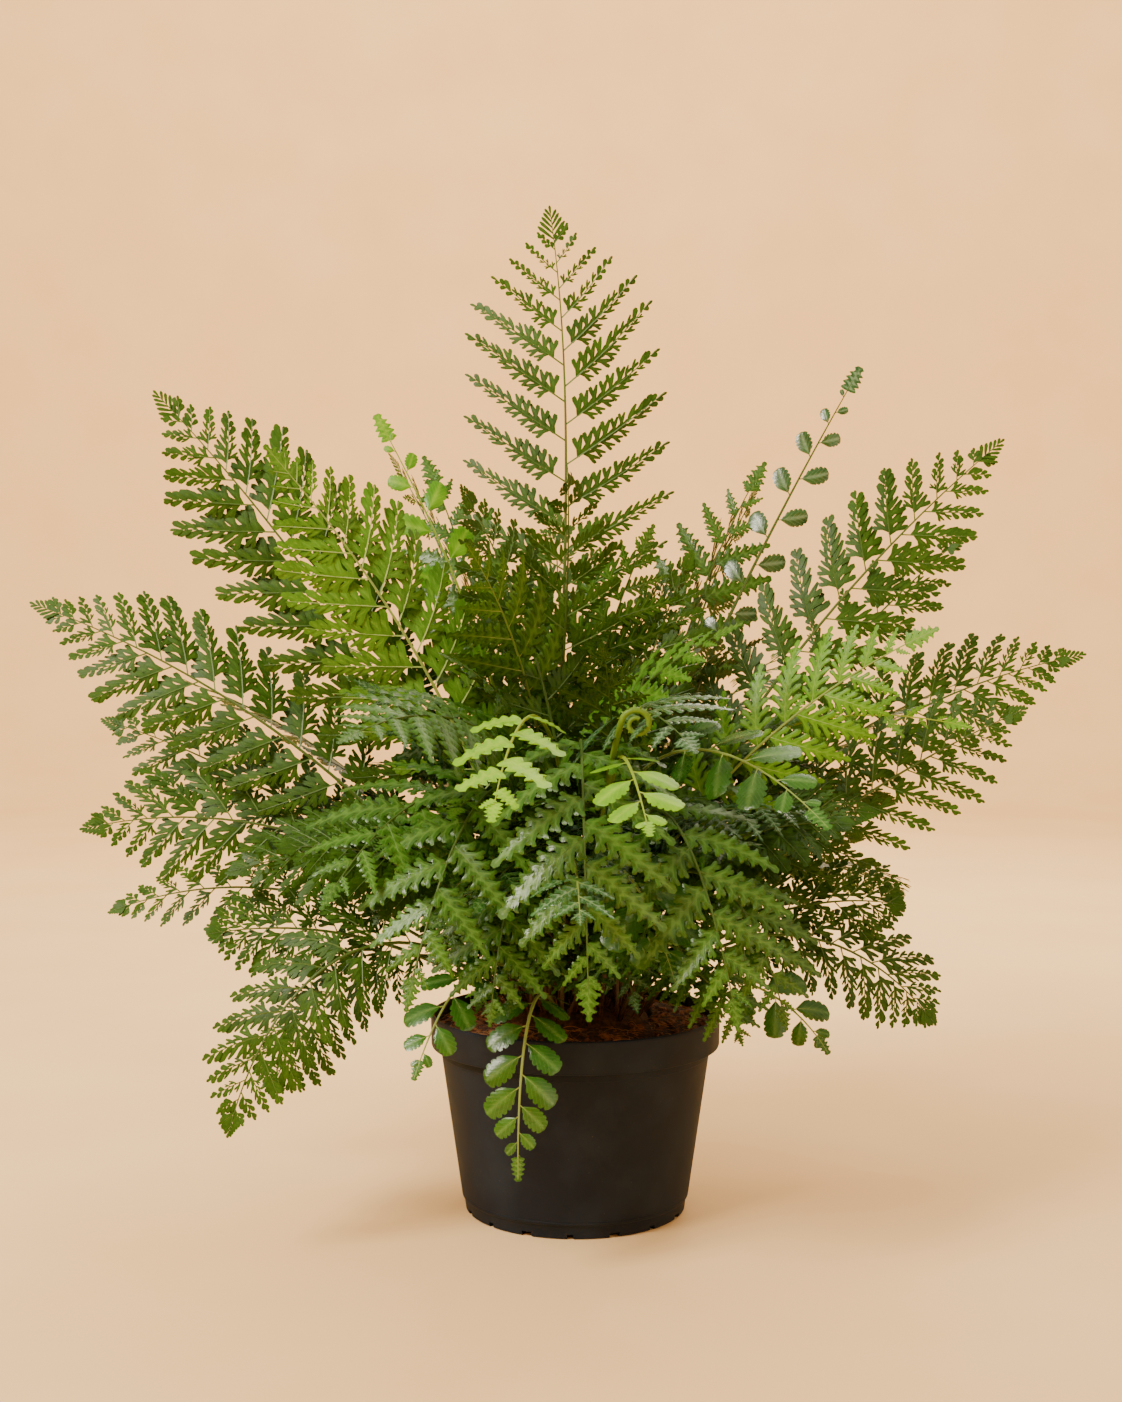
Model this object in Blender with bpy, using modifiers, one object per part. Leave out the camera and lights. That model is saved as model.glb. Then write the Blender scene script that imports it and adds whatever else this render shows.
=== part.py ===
"""A potted fern with finely divided, arching fronds, in a round black nursery pot.

The origin is the centre of the pot's foot, +Z is up, and the front of the plant faces -Y.
Lengths in the tables are millimetres, and MM turns them into Blender's metres.
"""

import math
import random

import bmesh
import bpy
import numpy as np
from mathutils import Matrix, Vector
from mathutils.bvhtree import BVHTree
from mathutils.geometry import delaunay_2d_cdt

MM = 0.001
GAP = 0.3  # between pieces that touch

# Pot: a moulded nursery pot, 17 cm across its rim
POT_SIDES = 28
POT_HEIGHT = 115.0
RIM_RADIUS = 85.0
RIM_BAND = 18.5
BODY_TOP_RADIUS = 79.2
BODY_LOW_RADIUS = 66.6
FOOT_RADIUS = 64.6
FOOT_HEIGHT = 7.5
WALL = 1.6
FOOT_NOTCHES = 16
NOTCH_HEIGHT = 2.6
NOTCH_WIDE = 6.0
NOTCH_NARROW = 3.5
NOTCH_TURN = -48.0  # degrees from the front to the first notch

# Soil: a low mound inside the rim
SOIL_EDGE_LEVEL = 107.0
SOIL_TOP_LEVEL = 114.0
SOIL_RELIEF = 1.6

# Crown: the clump of short rhizomes that the fronds stand in
CROWN_RADIUS = 45.0
CROWN_FLOOR = 104.0
CROWN_TOP = 128.0
CROWN_SIDES = 16
STEM_PLACES = 62
STEM_RING = 38.0
STEM_DEPTH = 9.0
STEM_PLAY = 0.45  # between a stem and the wall of its hole
STANDS_TRIED = 6  # free places tried for each stem
STEM_EXIT = 14.0  # how far along a stem the crown can reach

# Fronds
BLADE = 0.8  # thickness of a leaflet
STIPE = 2.2  # thickness and width of a bare stem
RACHIS_TIP = 0.9  # width of the midrib at the frond's tip
CURL = {"lace": 0.16, "broad": 0.30, "round": 0.22}  # how far leaflet tips fall back from the blade
LEAFLET_WIDTH = {"lace": 0.32, "broad": 0.42, "round": 0.62}  # a leaflet's width by its length
TERMINAL = 0.06  # share of the blade that its end leaflet takes
SHRINK = 1.35  # how much closer the leaflets stand towards the tip
CLEARANCE = 0.5  # kept between one frond and the next
BENDS = 100  # positions tried to bend a frond clear of its neighbours
BEND_REACH = 52.0  # the furthest that a frond's tip is bent, in millimetres
BEND_ROLL = 34.0  # the furthest that a blade is rolled, in degrees
SHORTER = (0.82, 0.66, 0.52, 0.4, 0.3, 0.22)  # lengths tried for a leaflet in another frond's way
ARCH_RISE = 60.0  # the smaller, the higher a hanging frond first rises
GOLDEN = math.pi * (3 - math.sqrt(5))

# Each frond: name, tip (x, y, z), arch in degrees, turn of its face from up (0) to the front (1)
# or to the back (-1), half width, pairs of leaflets, kind of leaflet, bare share of its length.
FRONDS = [
    ("tall", (-15, 30, 590), 4, 1.00, 72, 12, "lace", 0.42),
    ("upper_left", (-240, -20, 475), 12, 0.85, 58, 11, "lace", 0.36),
    ("upper_right", (250, 0, 450), 16, 0.85, 50, 10, "lace", 0.36),
    ("left_high", (-315, -10, 355), 20, 0.80, 50, 11, "lace", 0.34),
    ("right_high", (305, 20, 325), 26, 0.85, 42, 11, "lace", 0.36),
    ("right_spray", (255, -40, 295), 14, 0.85, 46, 10, "lace", 0.34),
    ("left_low", (-280, -50, 230), 36, 0.75, 46, 9, "lace", 0.34),
    ("droop_left", (-185, -110, 70), 62, 0.75, 38, 9, "lace", 0.34),
    ("droop_right", (205, -40, 115), 54, 0.70, 36, 9, "lace", 0.36),
    ("left_mid", (-290, 50, 285), 18, 0.70, 42, 9, "lace", 0.38),
    ("left_spray", (-205, -60, 170), 26, 0.80, 32, 8, "lace", 0.46),
    ("left_curl", (-280, 20, 170), 36, 0.60, 28, 8, "lace", 0.40),
    ("trail", (-30, -140, 55), 66, 0.60, 23, 8, "round", 0.28),
    ("rim_left", (-85, -130, 105), 58, 0.60, 22, 5, "round", 0.40),
    ("rim_right", (140, -70, 105), 50, 0.70, 24, 5, "round", 0.34),
    ("slender", (175, 50, 500), 10, 0.90, 18, 7, "round", 0.55),
    ("lobed_left", (-120, 40, 470), 14, 0.90, 24, 6, "round", 0.48),
    ("light_left", (-170, -70, 440), 16, 0.80, 54, 8, "broad", 0.34),
    ("bright_right", (195, -90, 340), 24, 0.85, 46, 9, "broad", 0.30),
    ("apron_mid", (5, -200, 150), 84, 0.45, 56, 7, "broad", 0.44),
    ("apron_right", (80, -175, 140), 80, 0.50, 52, 6, "broad", 0.44),
    ("apron_left", (-85, -175, 150), 80, 0.55, 50, 6, "broad", 0.44),
    ("centre_left", (-115, -200, 285), 56, 0.55, 54, 8, "broad", 0.36),
    ("centre_left2", (-130, -180, 205), 66, 0.55, 50, 6, "broad", 0.38),
    ("blue_centre", (60, -180, 275), 60, 0.60, 54, 6, "broad", 0.38),
    ("glossy_right", (125, -170, 240), 62, 0.70, 30, 6, "round", 0.46),
    ("young_left", (-40, -236, 250), 62, 0.60, 30, 4, "round", 0.66),
    ("young_mid", (32, -232, 244), 62, 0.60, 24, 4, "round", 0.70),
    ("dark_centre", (-60, -150, 205), 66, 0.50, 34, 5, "round", 0.46),
    ("holly_right", (50, -150, 160), 74, 0.60, 34, 5, "round", 0.46),
    ("low_left", (-45, -140, 135), 82, 0.60, 42, 6, "broad", 0.44),
    ("low_right", (110, -125, 130), 78, 0.60, 40, 6, "broad", 0.42),
    ("upper_right2", (120, 80, 445), 12, 0.80, 46, 7, "broad", 0.36),
    ("right_back", (245, 70, 400), 14, 0.80, 36, 7, "lace", 0.42),
    ("right_low", (190, -20, 180), 34, 0.75, 38, 8, "lace", 0.40),
    ("young_right", (220, -60, 285), 50, 0.70, 24, 6, "broad", 0.50),
    ("top_centre", (-60, -80, 385), 30, 0.75, 50, 7, "broad", 0.34),
    ("top_centre2", (45, -40, 400), 22, 0.80, 50, 7, "broad", 0.36),
    ("top_back", (-95, 90, 450), 14, 0.85, 50, 7, "broad", 0.36),
    ("rim_right2", (90, -95, 115), 66, 0.60, 28, 5, "broad", 0.40),
    ("droop_left2", (-170, -60, 80), 58, 0.75, 34, 8, "lace", 0.45),
    ("under_mid", (0, -215, 200), 56, 0.60, 34, 5, "broad", 0.62),
]

# The fronds that are still yellow-green
YOUNG = ("young_left", "young_mid", "young_right", "lobed_left")

# Young fronds still rolled up: name, top of the stalk, radius of the coil, arch
FIDDLEHEADS = [
    ("fiddlehead_front", (22, -150, 292), 8.0, 24),
    ("fiddlehead_side", (-52, 60, 330), 7.0, 8),
]
COIL_TURNS = 1.3
COIL_POINTS = 11

# Behind, where the photograph doesn't look, tiers of fronds fill the round: name, reach and height
# of the tips, first and last azimuth in degrees from +X, number, arch, turn.
BACK_TIERS = [
    ("back_low", 250, 165, 30, 150, 4, 46, -0.20),
    ("back_mid", 275, 310, 20, 160, 5, 26, -0.20),
    ("back_high", 190, 440, 50, 130, 2, 14, -0.40),
]
BACK_WIDTH = 48
BACK_PAIRS = 6
BACK_BARE = 0.34


def remove_all_objects():
    for item in list(bpy.data.objects):
        bpy.data.objects.remove(item)


def new_collection(name):
    made = bpy.data.collections.new(name)
    bpy.context.scene.collection.children.link(made)
    return made


def finish(name, colour, roughness, metallic=0.0):
    """A plain Principled BSDF material."""
    material = bpy.data.materials.new(name)
    material.use_nodes = True
    shader = material.node_tree.nodes["Principled BSDF"]
    shader.inputs["Base Color"].default_value = (*colour, 1.0)
    shader.inputs["Roughness"].default_value = roughness
    shader.inputs["Metallic"].default_value = metallic
    return material


def place(name, mesh, collection, material):
    """An object for the mesh, in its collection, with its material."""
    item = bpy.data.objects.new(name, mesh)
    collection.objects.link(item)
    if material:
        mesh.materials.clear()
        mesh.materials.append(material)
    return item


def mesh_of(item):
    """The object's evaluated mesh, as a mesh of its own."""
    graph = bpy.context.evaluated_depsgraph_get()
    graph.update()
    return bpy.data.meshes.new_from_object(item.evaluated_get(graph))


def weld(mesh):
    """Joins the vertices that lie together, and turns every face out."""
    bm = bmesh.new()
    bm.from_mesh(mesh)
    bmesh.ops.remove_doubles(bm, verts=bm.verts, dist=0.00002)
    bmesh.ops.recalc_face_normals(bm, faces=bm.faces)
    bm.to_mesh(mesh)
    bm.free()


def turned(name, profile, sides, collection, material):
    """A solid of revolution from (radius, height) points that start and end on its axis."""
    mesh = bpy.data.meshes.new(name)
    points = [(radius * MM, 0, height * MM) for radius, height in profile]
    mesh.from_pydata(points, [(i, i + 1) for i in range(len(points) - 1)], [])
    line = place(name, mesh, collection, None)
    screw = line.modifiers.new("turn", "SCREW")
    screw.steps = screw.render_steps = sides
    screw.use_merge_vertices = True
    screw.merge_threshold = 0.00005
    solid = mesh_of(line)
    bpy.data.objects.remove(line)
    weld(solid)
    solid.name = name
    return place(name, solid, collection, material)


def boxes(name, placements, collection):
    """One object of plain boxes, each given by its sizes and its place in millimetres."""
    bm = bmesh.new()
    for sizes, matrix in placements:
        matrix = Matrix.Scale(MM, 4) @ matrix @ Matrix.Diagonal((*sizes, 1.0))
        bmesh.ops.create_cube(bm, size=1.0, matrix=matrix)
    mesh = bpy.data.meshes.new(name)
    bm.to_mesh(mesh)
    bm.free()
    return place(name, mesh, collection, None)


def cut(item, cutter):
    """Takes the cutter out of the item, for good."""
    boolean = item.modifiers.new("cut", "BOOLEAN")
    boolean.operation = "DIFFERENCE"
    boolean.object = cutter
    boolean.solver = "EXACT"
    boolean.use_self = True
    result = mesh_of(item)
    item.modifiers.clear()
    old = item.data
    item.data = result
    bpy.data.meshes.remove(old)
    cutter.hide_render = True
    cutter.display_type = "WIRE"


def make_pot(collection, cutters, material):
    """The pot: tapered wall, banded rim, stepped foot, flat base and drain slots round the foot."""
    band = POT_HEIGHT - RIM_BAND
    profile = [
        (0.0, WALL),
        (FOOT_RADIUS - WALL, WALL),
        (BODY_TOP_RADIUS - WALL, band + 0.5),
        (RIM_RADIUS - WALL - 0.5, band + 3.0),
        (RIM_RADIUS - WALL - 0.5, POT_HEIGHT),
        (RIM_RADIUS - 1.0, POT_HEIGHT),
        (RIM_RADIUS, POT_HEIGHT - 1.2),
        (RIM_RADIUS - 0.5, band),
        (BODY_TOP_RADIUS, band - 0.8),
        (BODY_LOW_RADIUS, FOOT_HEIGHT + 1.0),
        (FOOT_RADIUS + 1.0, FOOT_HEIGHT),
        (FOOT_RADIUS, 0.0),
        (0.0, 0.0),
    ]
    pot = turned("pot", profile, POT_SIDES, collection, material)
    slots = []
    for n in range(FOOT_NOTCHES):
        turn = math.radians(NOTCH_TURN + n * 360 / FOOT_NOTCHES - 90)
        wide = NOTCH_WIDE if n % 2 else NOTCH_NARROW
        out = Matrix.Rotation(turn, 4, "Z") @ Matrix.Translation((FOOT_RADIUS, 0, 0))
        slots.append(((6 * WALL, wide, 2 * NOTCH_HEIGHT), out))
    cut(pot, boxes("drain_slots", slots, cutters))
    return pot


def pot_inner_radius(height):
    """The radius of the pot's inner wall at a height above its base."""
    low = WALL
    high = POT_HEIGHT - RIM_BAND + 0.5
    share = (height - low) / (high - low)
    return (FOOT_RADIUS - WALL) + share * (BODY_TOP_RADIUS - FOOT_RADIUS)


def relief(x, y):
    """The soil's lumps, as a formula, in millimetres."""
    lumps = math.sin(x / 6.1 + 1.3) * math.cos(y / 7.3) + 0.6 * math.sin(x / 3.7 - y / 4.9)
    return SOIL_RELIEF * 0.5 * lumps


def make_soil(collection, material):
    """The root ball: it fills the pot, and its top is a lumpy mound with a recess for the crown."""
    gap = GAP + 0.1
    floor = WALL + GAP
    band = POT_HEIGHT - RIM_BAND
    rim = RIM_RADIUS - WALL - 0.5 - gap
    profile = [
        (0.0, CROWN_FLOOR - GAP),
        (CROWN_RADIUS + GAP, CROWN_FLOOR - GAP),
        (CROWN_RADIUS + GAP, SOIL_TOP_LEVEL),
        (56.0, SOIL_TOP_LEVEL - 0.5),
        (67.0, SOIL_TOP_LEVEL - 2.5),
        (76.0, SOIL_EDGE_LEVEL + 2.0),
        (rim, SOIL_EDGE_LEVEL),
        (rim, band + 3.2 + gap),
        (pot_inner_radius(band) - gap, band + 0.5),
        (pot_inner_radius(floor) - gap, floor),
        (0.0, floor),
    ]
    soil = turned("soil", profile, POT_SIDES, collection, material)
    for vertex in soil.data.vertices:
        x, y, z = vertex.co / MM
        if z > SOIL_EDGE_LEVEL + 1 and CROWN_RADIUS + 2 < math.hypot(x, y) < rim - 1:
            vertex.co.z += relief(x, y) * MM
    return soil


def dome_level(radius):
    """The height of the crown's top at a distance from its middle."""
    share = min(1.0, radius / CROWN_RADIUS)
    return CROWN_TOP - (CROWN_TOP - SOIL_TOP_LEVEL - 1.0) * share**2.2


def make_crown(collection, material):
    """The clump of rhizomes: a low dome that the stems stand in."""
    rings = (0.0, 0.6, 1.0)
    top = [(CROWN_RADIUS * share, dome_level(CROWN_RADIUS * share)) for share in rings]
    profile = top + [(CROWN_RADIUS, CROWN_FLOOR), (0.0, CROWN_FLOOR)]
    return turned("crown", profile, CROWN_SIDES, collection, material)


class Frond:
    """One frond: the line of its midrib, the frame that its blade follows, and its leaflets."""

    holds_stems = False

    def __init__(self, row, number):
        self.name, tip, self.arch, self.turn, self.half, self.pairs, self.kind, self.bare = row
        self.tip = np.array(tip, float)
        draw = random.Random(number)
        self.sway = draw.uniform(-0.05, 0.05)
        self.lifts = [draw.uniform(-0.10, 0.10) for _ in range(2 * self.pairs)]
        self.levels = [0] * (2 * self.pairs)
        self.bent = 0

    def stands(self, places):
        """The free places on the crown that suit the frond's direction best."""
        across = math.hypot(self.tip[0], self.tip[1])
        climb = math.degrees(math.atan2(self.tip[2] - CROWN_TOP, across)) + self.arch
        out = STEM_RING * min(1.0, max(0.08, 1 - (climb - 20) / 90))
        around = math.atan2(self.tip[1], self.tip[0])
        wish = (out * math.cos(around), out * math.sin(around))
        return sorted(places, key=lambda p: math.dist(p, wish))[:STANDS_TRIED]

    def stand(self, stem_place):
        """Sets the foot of the stem in the crown at the place."""
        self.place = stem_place
        level = dome_level(math.hypot(*stem_place)) - STEM_DEPTH
        self.base = np.array([*stem_place, level])

    def bend(self, number):
        """Bends the frond a little from its wished place: further, and another way, each time."""
        self.bent = number
        share = (number / BENDS) ** 0.8
        angle = number * GOLDEN
        height = 1 - 2 * ((number * 0.618) % 1.0)
        flat = math.sqrt(1 - height * height)
        way = np.array([0.55 * flat * math.cos(angle), flat * math.sin(angle), 0.55 * height])
        self.reach = self.tip + way * share * BEND_REACH
        self.roll = BEND_ROLL * share * math.cos(2.3 * number + 0.4)
        self.lay_line()
        self.frame_blade()

    def lay_line(self):
        """The midrib: one smooth arch in the plane that holds its two ends and the vertical."""
        chord = self.reach - self.base
        length = np.linalg.norm(chord)
        flat = np.array([chord[0], chord[1], 0.0])
        flat /= np.linalg.norm(flat)
        climb = math.atan2(chord[2], chord @ flat)
        arch = math.radians(self.arch)
        handle = length / (3 * math.cos(arch / 2) ** 2)
        handle *= 1 + max(0.0, self.arch - 45) / ARCH_RISE
        up = np.array([0.0, 0.0, 1.0])
        side = np.cross(up, flat)
        start = flat * math.cos(climb + arch) + up * math.sin(climb + arch)
        end = flat * math.cos(climb - arch) + up * math.sin(climb - arch)
        p1 = self.base + start * handle + side * self.sway * length
        p2 = self.reach - end * handle - side * self.sway * length
        t = np.linspace(0, 1, 49)[:, None]
        u = 1 - t
        self.line = u**3 * self.base + 3 * u * u * t * p1 + 3 * u * t * t * p2 + t**3 * self.reach
        steps = np.linalg.norm(np.diff(self.line, axis=0), axis=1)
        self.along = np.concatenate([[0], np.cumsum(steps)])
        self.length = self.along[-1]
        tangent = np.gradient(self.line, axis=0)
        self.tangent = tangent / np.linalg.norm(tangent, axis=1)[:, None]

    def frame_blade(self):
        """The blade's side and face directions along the midrib."""
        front = np.array([0.0, -math.copysign(1, self.turn), 0.25])
        face = np.array([0, 0, 1.0]) * (1 - abs(self.turn)) + front * abs(self.turn)
        side = np.cross(self.tangent, face)
        side /= np.linalg.norm(side, axis=1)[:, None]
        normal = np.cross(side, self.tangent)
        roll = math.radians(self.roll)
        self.side = side * math.cos(roll) + normal * math.sin(roll)
        self.normal = normal * math.cos(roll) - side * math.sin(roll)

    def at(self, table, s):
        return np.stack([np.interp(s, self.along, table[:, k]) for k in range(3)], axis=1)

    def spread(self, points):
        """Flat blade points (along, across, lift) to their places in the arched blade, in metres."""
        s, v, lift = np.array(points, float).T
        over = np.maximum(0, s - self.length)
        on = np.minimum(s, self.length)
        tangent = self.at(self.tangent, on)
        side = self.at(self.side, on)
        normal = self.at(self.normal, on)
        fall = lift - CURL[self.kind] * v * v / self.half
        place = self.at(self.line, on) + tangent * over[:, None] + side * v[:, None]
        return (place + normal * fall[:, None]) * MM, normal

    def leaflets(self):
        """Each leaflet's side, root, angle from the midrib, length and width, at full length."""
        first = self.bare * self.length
        blade = (self.length - first) * (1 - TERMINAL)
        found = []
        for j in range(self.pairs):
            share = 1 - (1 - j / self.pairs) ** SHRINK
            after = 1 - (1 - (j + 1) / self.pairs) ** SHRINK
            pitch = blade * (after - share)
            for side in (-1, 1):
                x = share + (0.42 * (after - share) if side > 0 else 0)
                long = max(5.0, self.half * blade_profile(x, self.kind))
                angle = math.radians(68 - 24 * x)
                wide = min(LEAFLET_WIDTH[self.kind] * long, 0.86 * pitch * math.sin(angle))
                found.append((side, first + blade * x + 1.2, angle, long, max(wide, min(2.6, 0.5 * long))))
        return found

    def midrib(self, s):
        """Half the width of the stem, or of the midrib, at s along the frond."""
        first = self.bare * self.length
        share = min(1.0, max(0.0, (s - first) / (self.length - first)))
        return 0.5 * (STIPE + (RACHIS_TIP - STIPE) * share)

    def outline(self):
        """The blade's outline while it is flat: (along, across, lift, leaflet number or -1)."""
        first = self.bare * self.length
        between = (0.4, 0.75) if first > 110 else (0.55,)
        stations = [0.0, STEM_EXIT]
        stations += [STEM_EXIT + (first - STEM_EXIT) * k for k in between]
        leaflets = self.leaflets()
        sides = {-1: [], 1: []}
        for side, points in sides.items():
            points += [(s, side * self.midrib(s), 0.0, -1) for s in stations]
        for n, (side, root, angle, long, wide) in enumerate(leaflets):
            share = (1.0, *SHORTER)[self.levels[n]]
            edge = self.midrib(root)
            neck = 1.1 if long > 20 else 0.9
            points = sides[side]
            points.append((root - neck, side * edge, 0.0, -1))
            for q, h in leaflet_shape(self.kind, long):
                reach = q * long * share + edge
                half = 0.5 * wide * h * share
                s = root + reach * math.cos(angle) + half * math.sin(angle)
                v = side * (reach * math.sin(angle) - half * math.cos(angle))
                points.append((s, v, self.lifts[n] * q * reach, n))
            points.append((root + neck, side * edge, 0.0, -1))
        last = self.length - (self.length - first) * TERMINAL * 0.55
        wide = 0.5 * max(3.0, 0.10 * self.half)
        for side, points in sides.items():
            points.append((last, side * wide, 0.0, -1))
        return sides[1] + [(self.length, 0.0, 0.0, -1)] + sides[-1][::-1]

    def cut_out(self):
        """Works out the outline, its triangles and the tree of its shell; false if it crosses itself."""
        self.edge = self.outline()
        flat = [Vector(point[:2]) for point in self.edge]
        made = delaunay_2d_cdt(flat, [], [list(range(len(flat)))], 1, 1e-5)
        self.faces = [tuple(face) for face in made[2]]
        if len(made[0]) != len(flat):
            return False
        self.wrap()
        return True

    def wrap(self):
        """Trees of the blade's shell with half the clearance round it: whole, and above the crown."""
        points, normal = self.spread([p[:3] for p in self.edge])
        bare = self.bare * self.length
        thick = np.array([STIPE if p[0] < bare * 0.8 else BLADE for p in self.edge])
        push = normal * (0.5 * (thick + CLEARANCE) * MM)[:, None]
        count = len(points)
        triangles = self.faces + [tuple(i + count for i in f) for f in self.faces]
        self.labels = [max(self.edge[i][3] for i in f) for f in self.faces] * 2
        for i in range(count):
            j = (i + 1) % count
            triangles += [(i, j, j + count), (i, j + count, i + count)]
            self.labels += [max(self.edge[i][3], self.edge[j][3])] * 2
        verts = [tuple(p) for p in np.concatenate([points + push, points - push])]
        self.tree = BVHTree.FromPolygons(verts, triangles)
        reach = [self.edge[i % count][0] for i in range(2 * count)]
        above = [t if max(reach[i] for i in t) > STEM_EXIT + 0.1 else t[:1] * 3 for t in triangles]
        self.above = BVHTree.FromPolygons(verts, above)


class Piece:
    """A piece that fronds keep clear of and that never gives way; stems may stand in the crown."""

    def __init__(self, item, margin=0.0, holds_stems=False):
        self.holds_stems = holds_stems
        mesh = mesh_of(item)
        verts = [tuple(v.co + v.normal * margin * MM) for v in mesh.vertices]
        faces = [tuple(p.vertices) for p in mesh.polygons]
        self.tree = BVHTree.FromPolygons(verts, faces)
        self.labels = [-1] * len(faces)
        bpy.data.meshes.remove(mesh)


def blade_profile(x, kind):
    """The share of the full width that the leaflets have at x along the blade."""
    least = {"lace": 0.82, "broad": 0.66, "round": 0.72}[kind]
    taper = {"lace": 0.33, "broad": 0.38, "round": 0.36}[kind]
    low = least + (1 - least) * min(1.0, x / 0.22)
    return max(0.16, low * min(1.0, (1 - x) / taper) ** 0.85)


def leaflet_shape(kind, long):
    """A leaflet's outline without its roots, as (share along, share of half width), low side first."""
    if kind == "round":
        return [(0.62, -1.0), (1.0, 0.1), (0.50, 1.0)]
    if long < 22:
        return [(1.0, 0.3)]
    if long < 42:
        return [(0.40, -1.0), (1.0, 0.3)]
    return [(0.40, -1.0), (1.0, 0.4), (0.26, 1.0)]


def conflicts(frond, others):
    """The leaflets that must give way, as (owner, leaflet), and whether a midrib is in the way."""
    giving = set()
    for other in others:
        tree = frond.above if other.holds_stems else frond.tree
        for mine, theirs in tree.overlap(other.tree):
            if frond.labels[mine] >= 0:
                giving.add((frond, frond.labels[mine]))
            elif other.labels[theirs] >= 0:
                giving.add((other, other.labels[theirs]))
            else:
                return giving, True
    return giving, False


def give_way(frond, others):
    """Shortens leaflets, step by step, until none is in the way; puts them back if that fails."""
    kept = {frond: list(frond.levels)}
    giving, blocked = conflicts(frond, others)
    while giving and not blocked:
        for owner, leaflet in giving:
            kept.setdefault(owner, list(owner.levels))
            if owner.levels[leaflet] == len(SHORTER):
                blocked = True
                break
            owner.levels[leaflet] += 1
        for owner in {owner for owner, _ in giving}:
            owner.cut_out()
        if not blocked:
            giving, blocked = conflicts(frond, others)
    if blocked:
        for owner, levels in kept.items():
            owner.levels = levels
            owner.cut_out()
    return not blocked


def bend_clear(frond, places, others):
    """Finds the smallest bend that clears the pieces already there, with few leaflets shortened."""
    tried = []
    stands = frond.stands(places)
    least = 99.0
    for number in range(BENDS):
        far = 6.0 * number / BENDS
        if far > least:
            break
        for rank, stem_place in enumerate(stands):
            frond.stand(stem_place)
            frond.bend(number)
            if not frond.cut_out():
                continue
            giving, blocked = conflicts(frond, others)
            if blocked:
                continue
            cost = len(giving) + far + 0.3 * rank
            tried.append((cost, number, stem_place))
            least = min(least, cost)
    for _, number, stem_place in sorted(tried)[:16]:
        frond.stand(stem_place)
        frond.bend(number)
        frond.cut_out()
        if give_way(frond, others):
            places.remove(stem_place)
            return True
    return False


def make_frond(frond, collection, material):
    """The frond as one thin solid: its cut outline, arched, with a thicker stem."""
    points, _ = frond.spread([p[:3] for p in frond.edge])
    mesh = bpy.data.meshes.new(frond.name)
    mesh.from_pydata([tuple(p) for p in points], [], frond.faces)
    item = place(frond.name, mesh, collection, material)
    stem = item.vertex_groups.new(name="stem")
    bare = frond.bare * frond.length
    for n, point in enumerate(frond.edge):
        share = max(0.0, min(1.0, (1.15 * bare - point[0]) / (0.35 * bare)))
        stem.add([n], share if point[3] < 0 else 0.0, "REPLACE")
    thicken = item.modifiers.new("thickness", "SOLIDIFY")
    thicken.thickness = STIPE * MM
    thicken.offset = 0
    thicken.use_quality_normals = True
    thicken.vertex_group = "stem"
    thicken.thickness_vertex_group = BLADE / STIPE
    return item


def make_fiddlehead(row, places, collection, material):
    """A young frond still rolled up: a thin stalk that ends in a flat coil."""
    name, top, coil, arch = row
    frond = Frond((name, top, arch, 1.0, 10, 1, "round", 0.5), 0)
    frond.sway = 0.0
    frond.stand(frond.stands(places)[0])
    places.remove(frond.place)
    frond.bend(0)
    stalk = list(frond.line[::6])
    ahead = frond.tangent[-1]
    across = np.cross(ahead, (0.0, -1.0, 0.2))
    across /= np.linalg.norm(across)
    middle = frond.line[-1] + across * coil
    radii = [1.3 + 0.4 * n / len(stalk) for n in range(len(stalk))]
    for n in range(1, COIL_POINTS + 1):
        share = n / COIL_POINTS
        angle = share * COIL_TURNS * 2 * math.pi
        reach = coil * (1 - 0.66 * share)
        stalk.append(middle - across * reach * math.cos(angle) + ahead * reach * math.sin(angle))
        radii.append(1.7 - 0.6 * share)
    curve = bpy.data.curves.new(name, "CURVE")
    curve.dimensions = "3D"
    curve.bevel_depth = MM
    curve.bevel_resolution = 1
    curve.use_fill_caps = True
    line = curve.splines.new("POLY")
    line.points.add(len(stalk) - 1)
    for point, along, radius in zip(line.points, stalk, radii):
        point.co = (*(along * MM), 1.0)
        point.radius = radius
    wire = bpy.data.objects.new(name + "_line", curve)
    collection.objects.link(wire)
    mesh = mesh_of(wire)
    bpy.data.objects.remove(wire)
    mesh.name = name
    weld(mesh)
    return frond, place(name, mesh, collection, material)


def back_rows():
    """The fronds behind, spaced evenly in each tier."""
    rows = []
    for name, reach, height, first, last, number, arch, turn in BACK_TIERS:
        for n in range(number):
            azimuth = math.radians(first + (last - first) * n / (number - 1))
            tip = (reach * math.cos(azimuth), reach * math.sin(azimuth), height + 18 * (n % 2))
            rows.append(
                (f"{name}_{n + 1}", tip, arch, turn, BACK_WIDTH, BACK_PAIRS, "lace", BACK_BARE)
            )
    return rows


def stem_places():
    """Places for the stems on the crown, in a sunflower's spiral."""
    places = []
    for n in range(STEM_PLACES):
        radius = (STEM_RING + 2) * math.sqrt((n + 0.5) / STEM_PLACES)
        places.append((radius * math.cos(n * GOLDEN), radius * math.sin(n * GOLDEN)))
    return places


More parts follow.
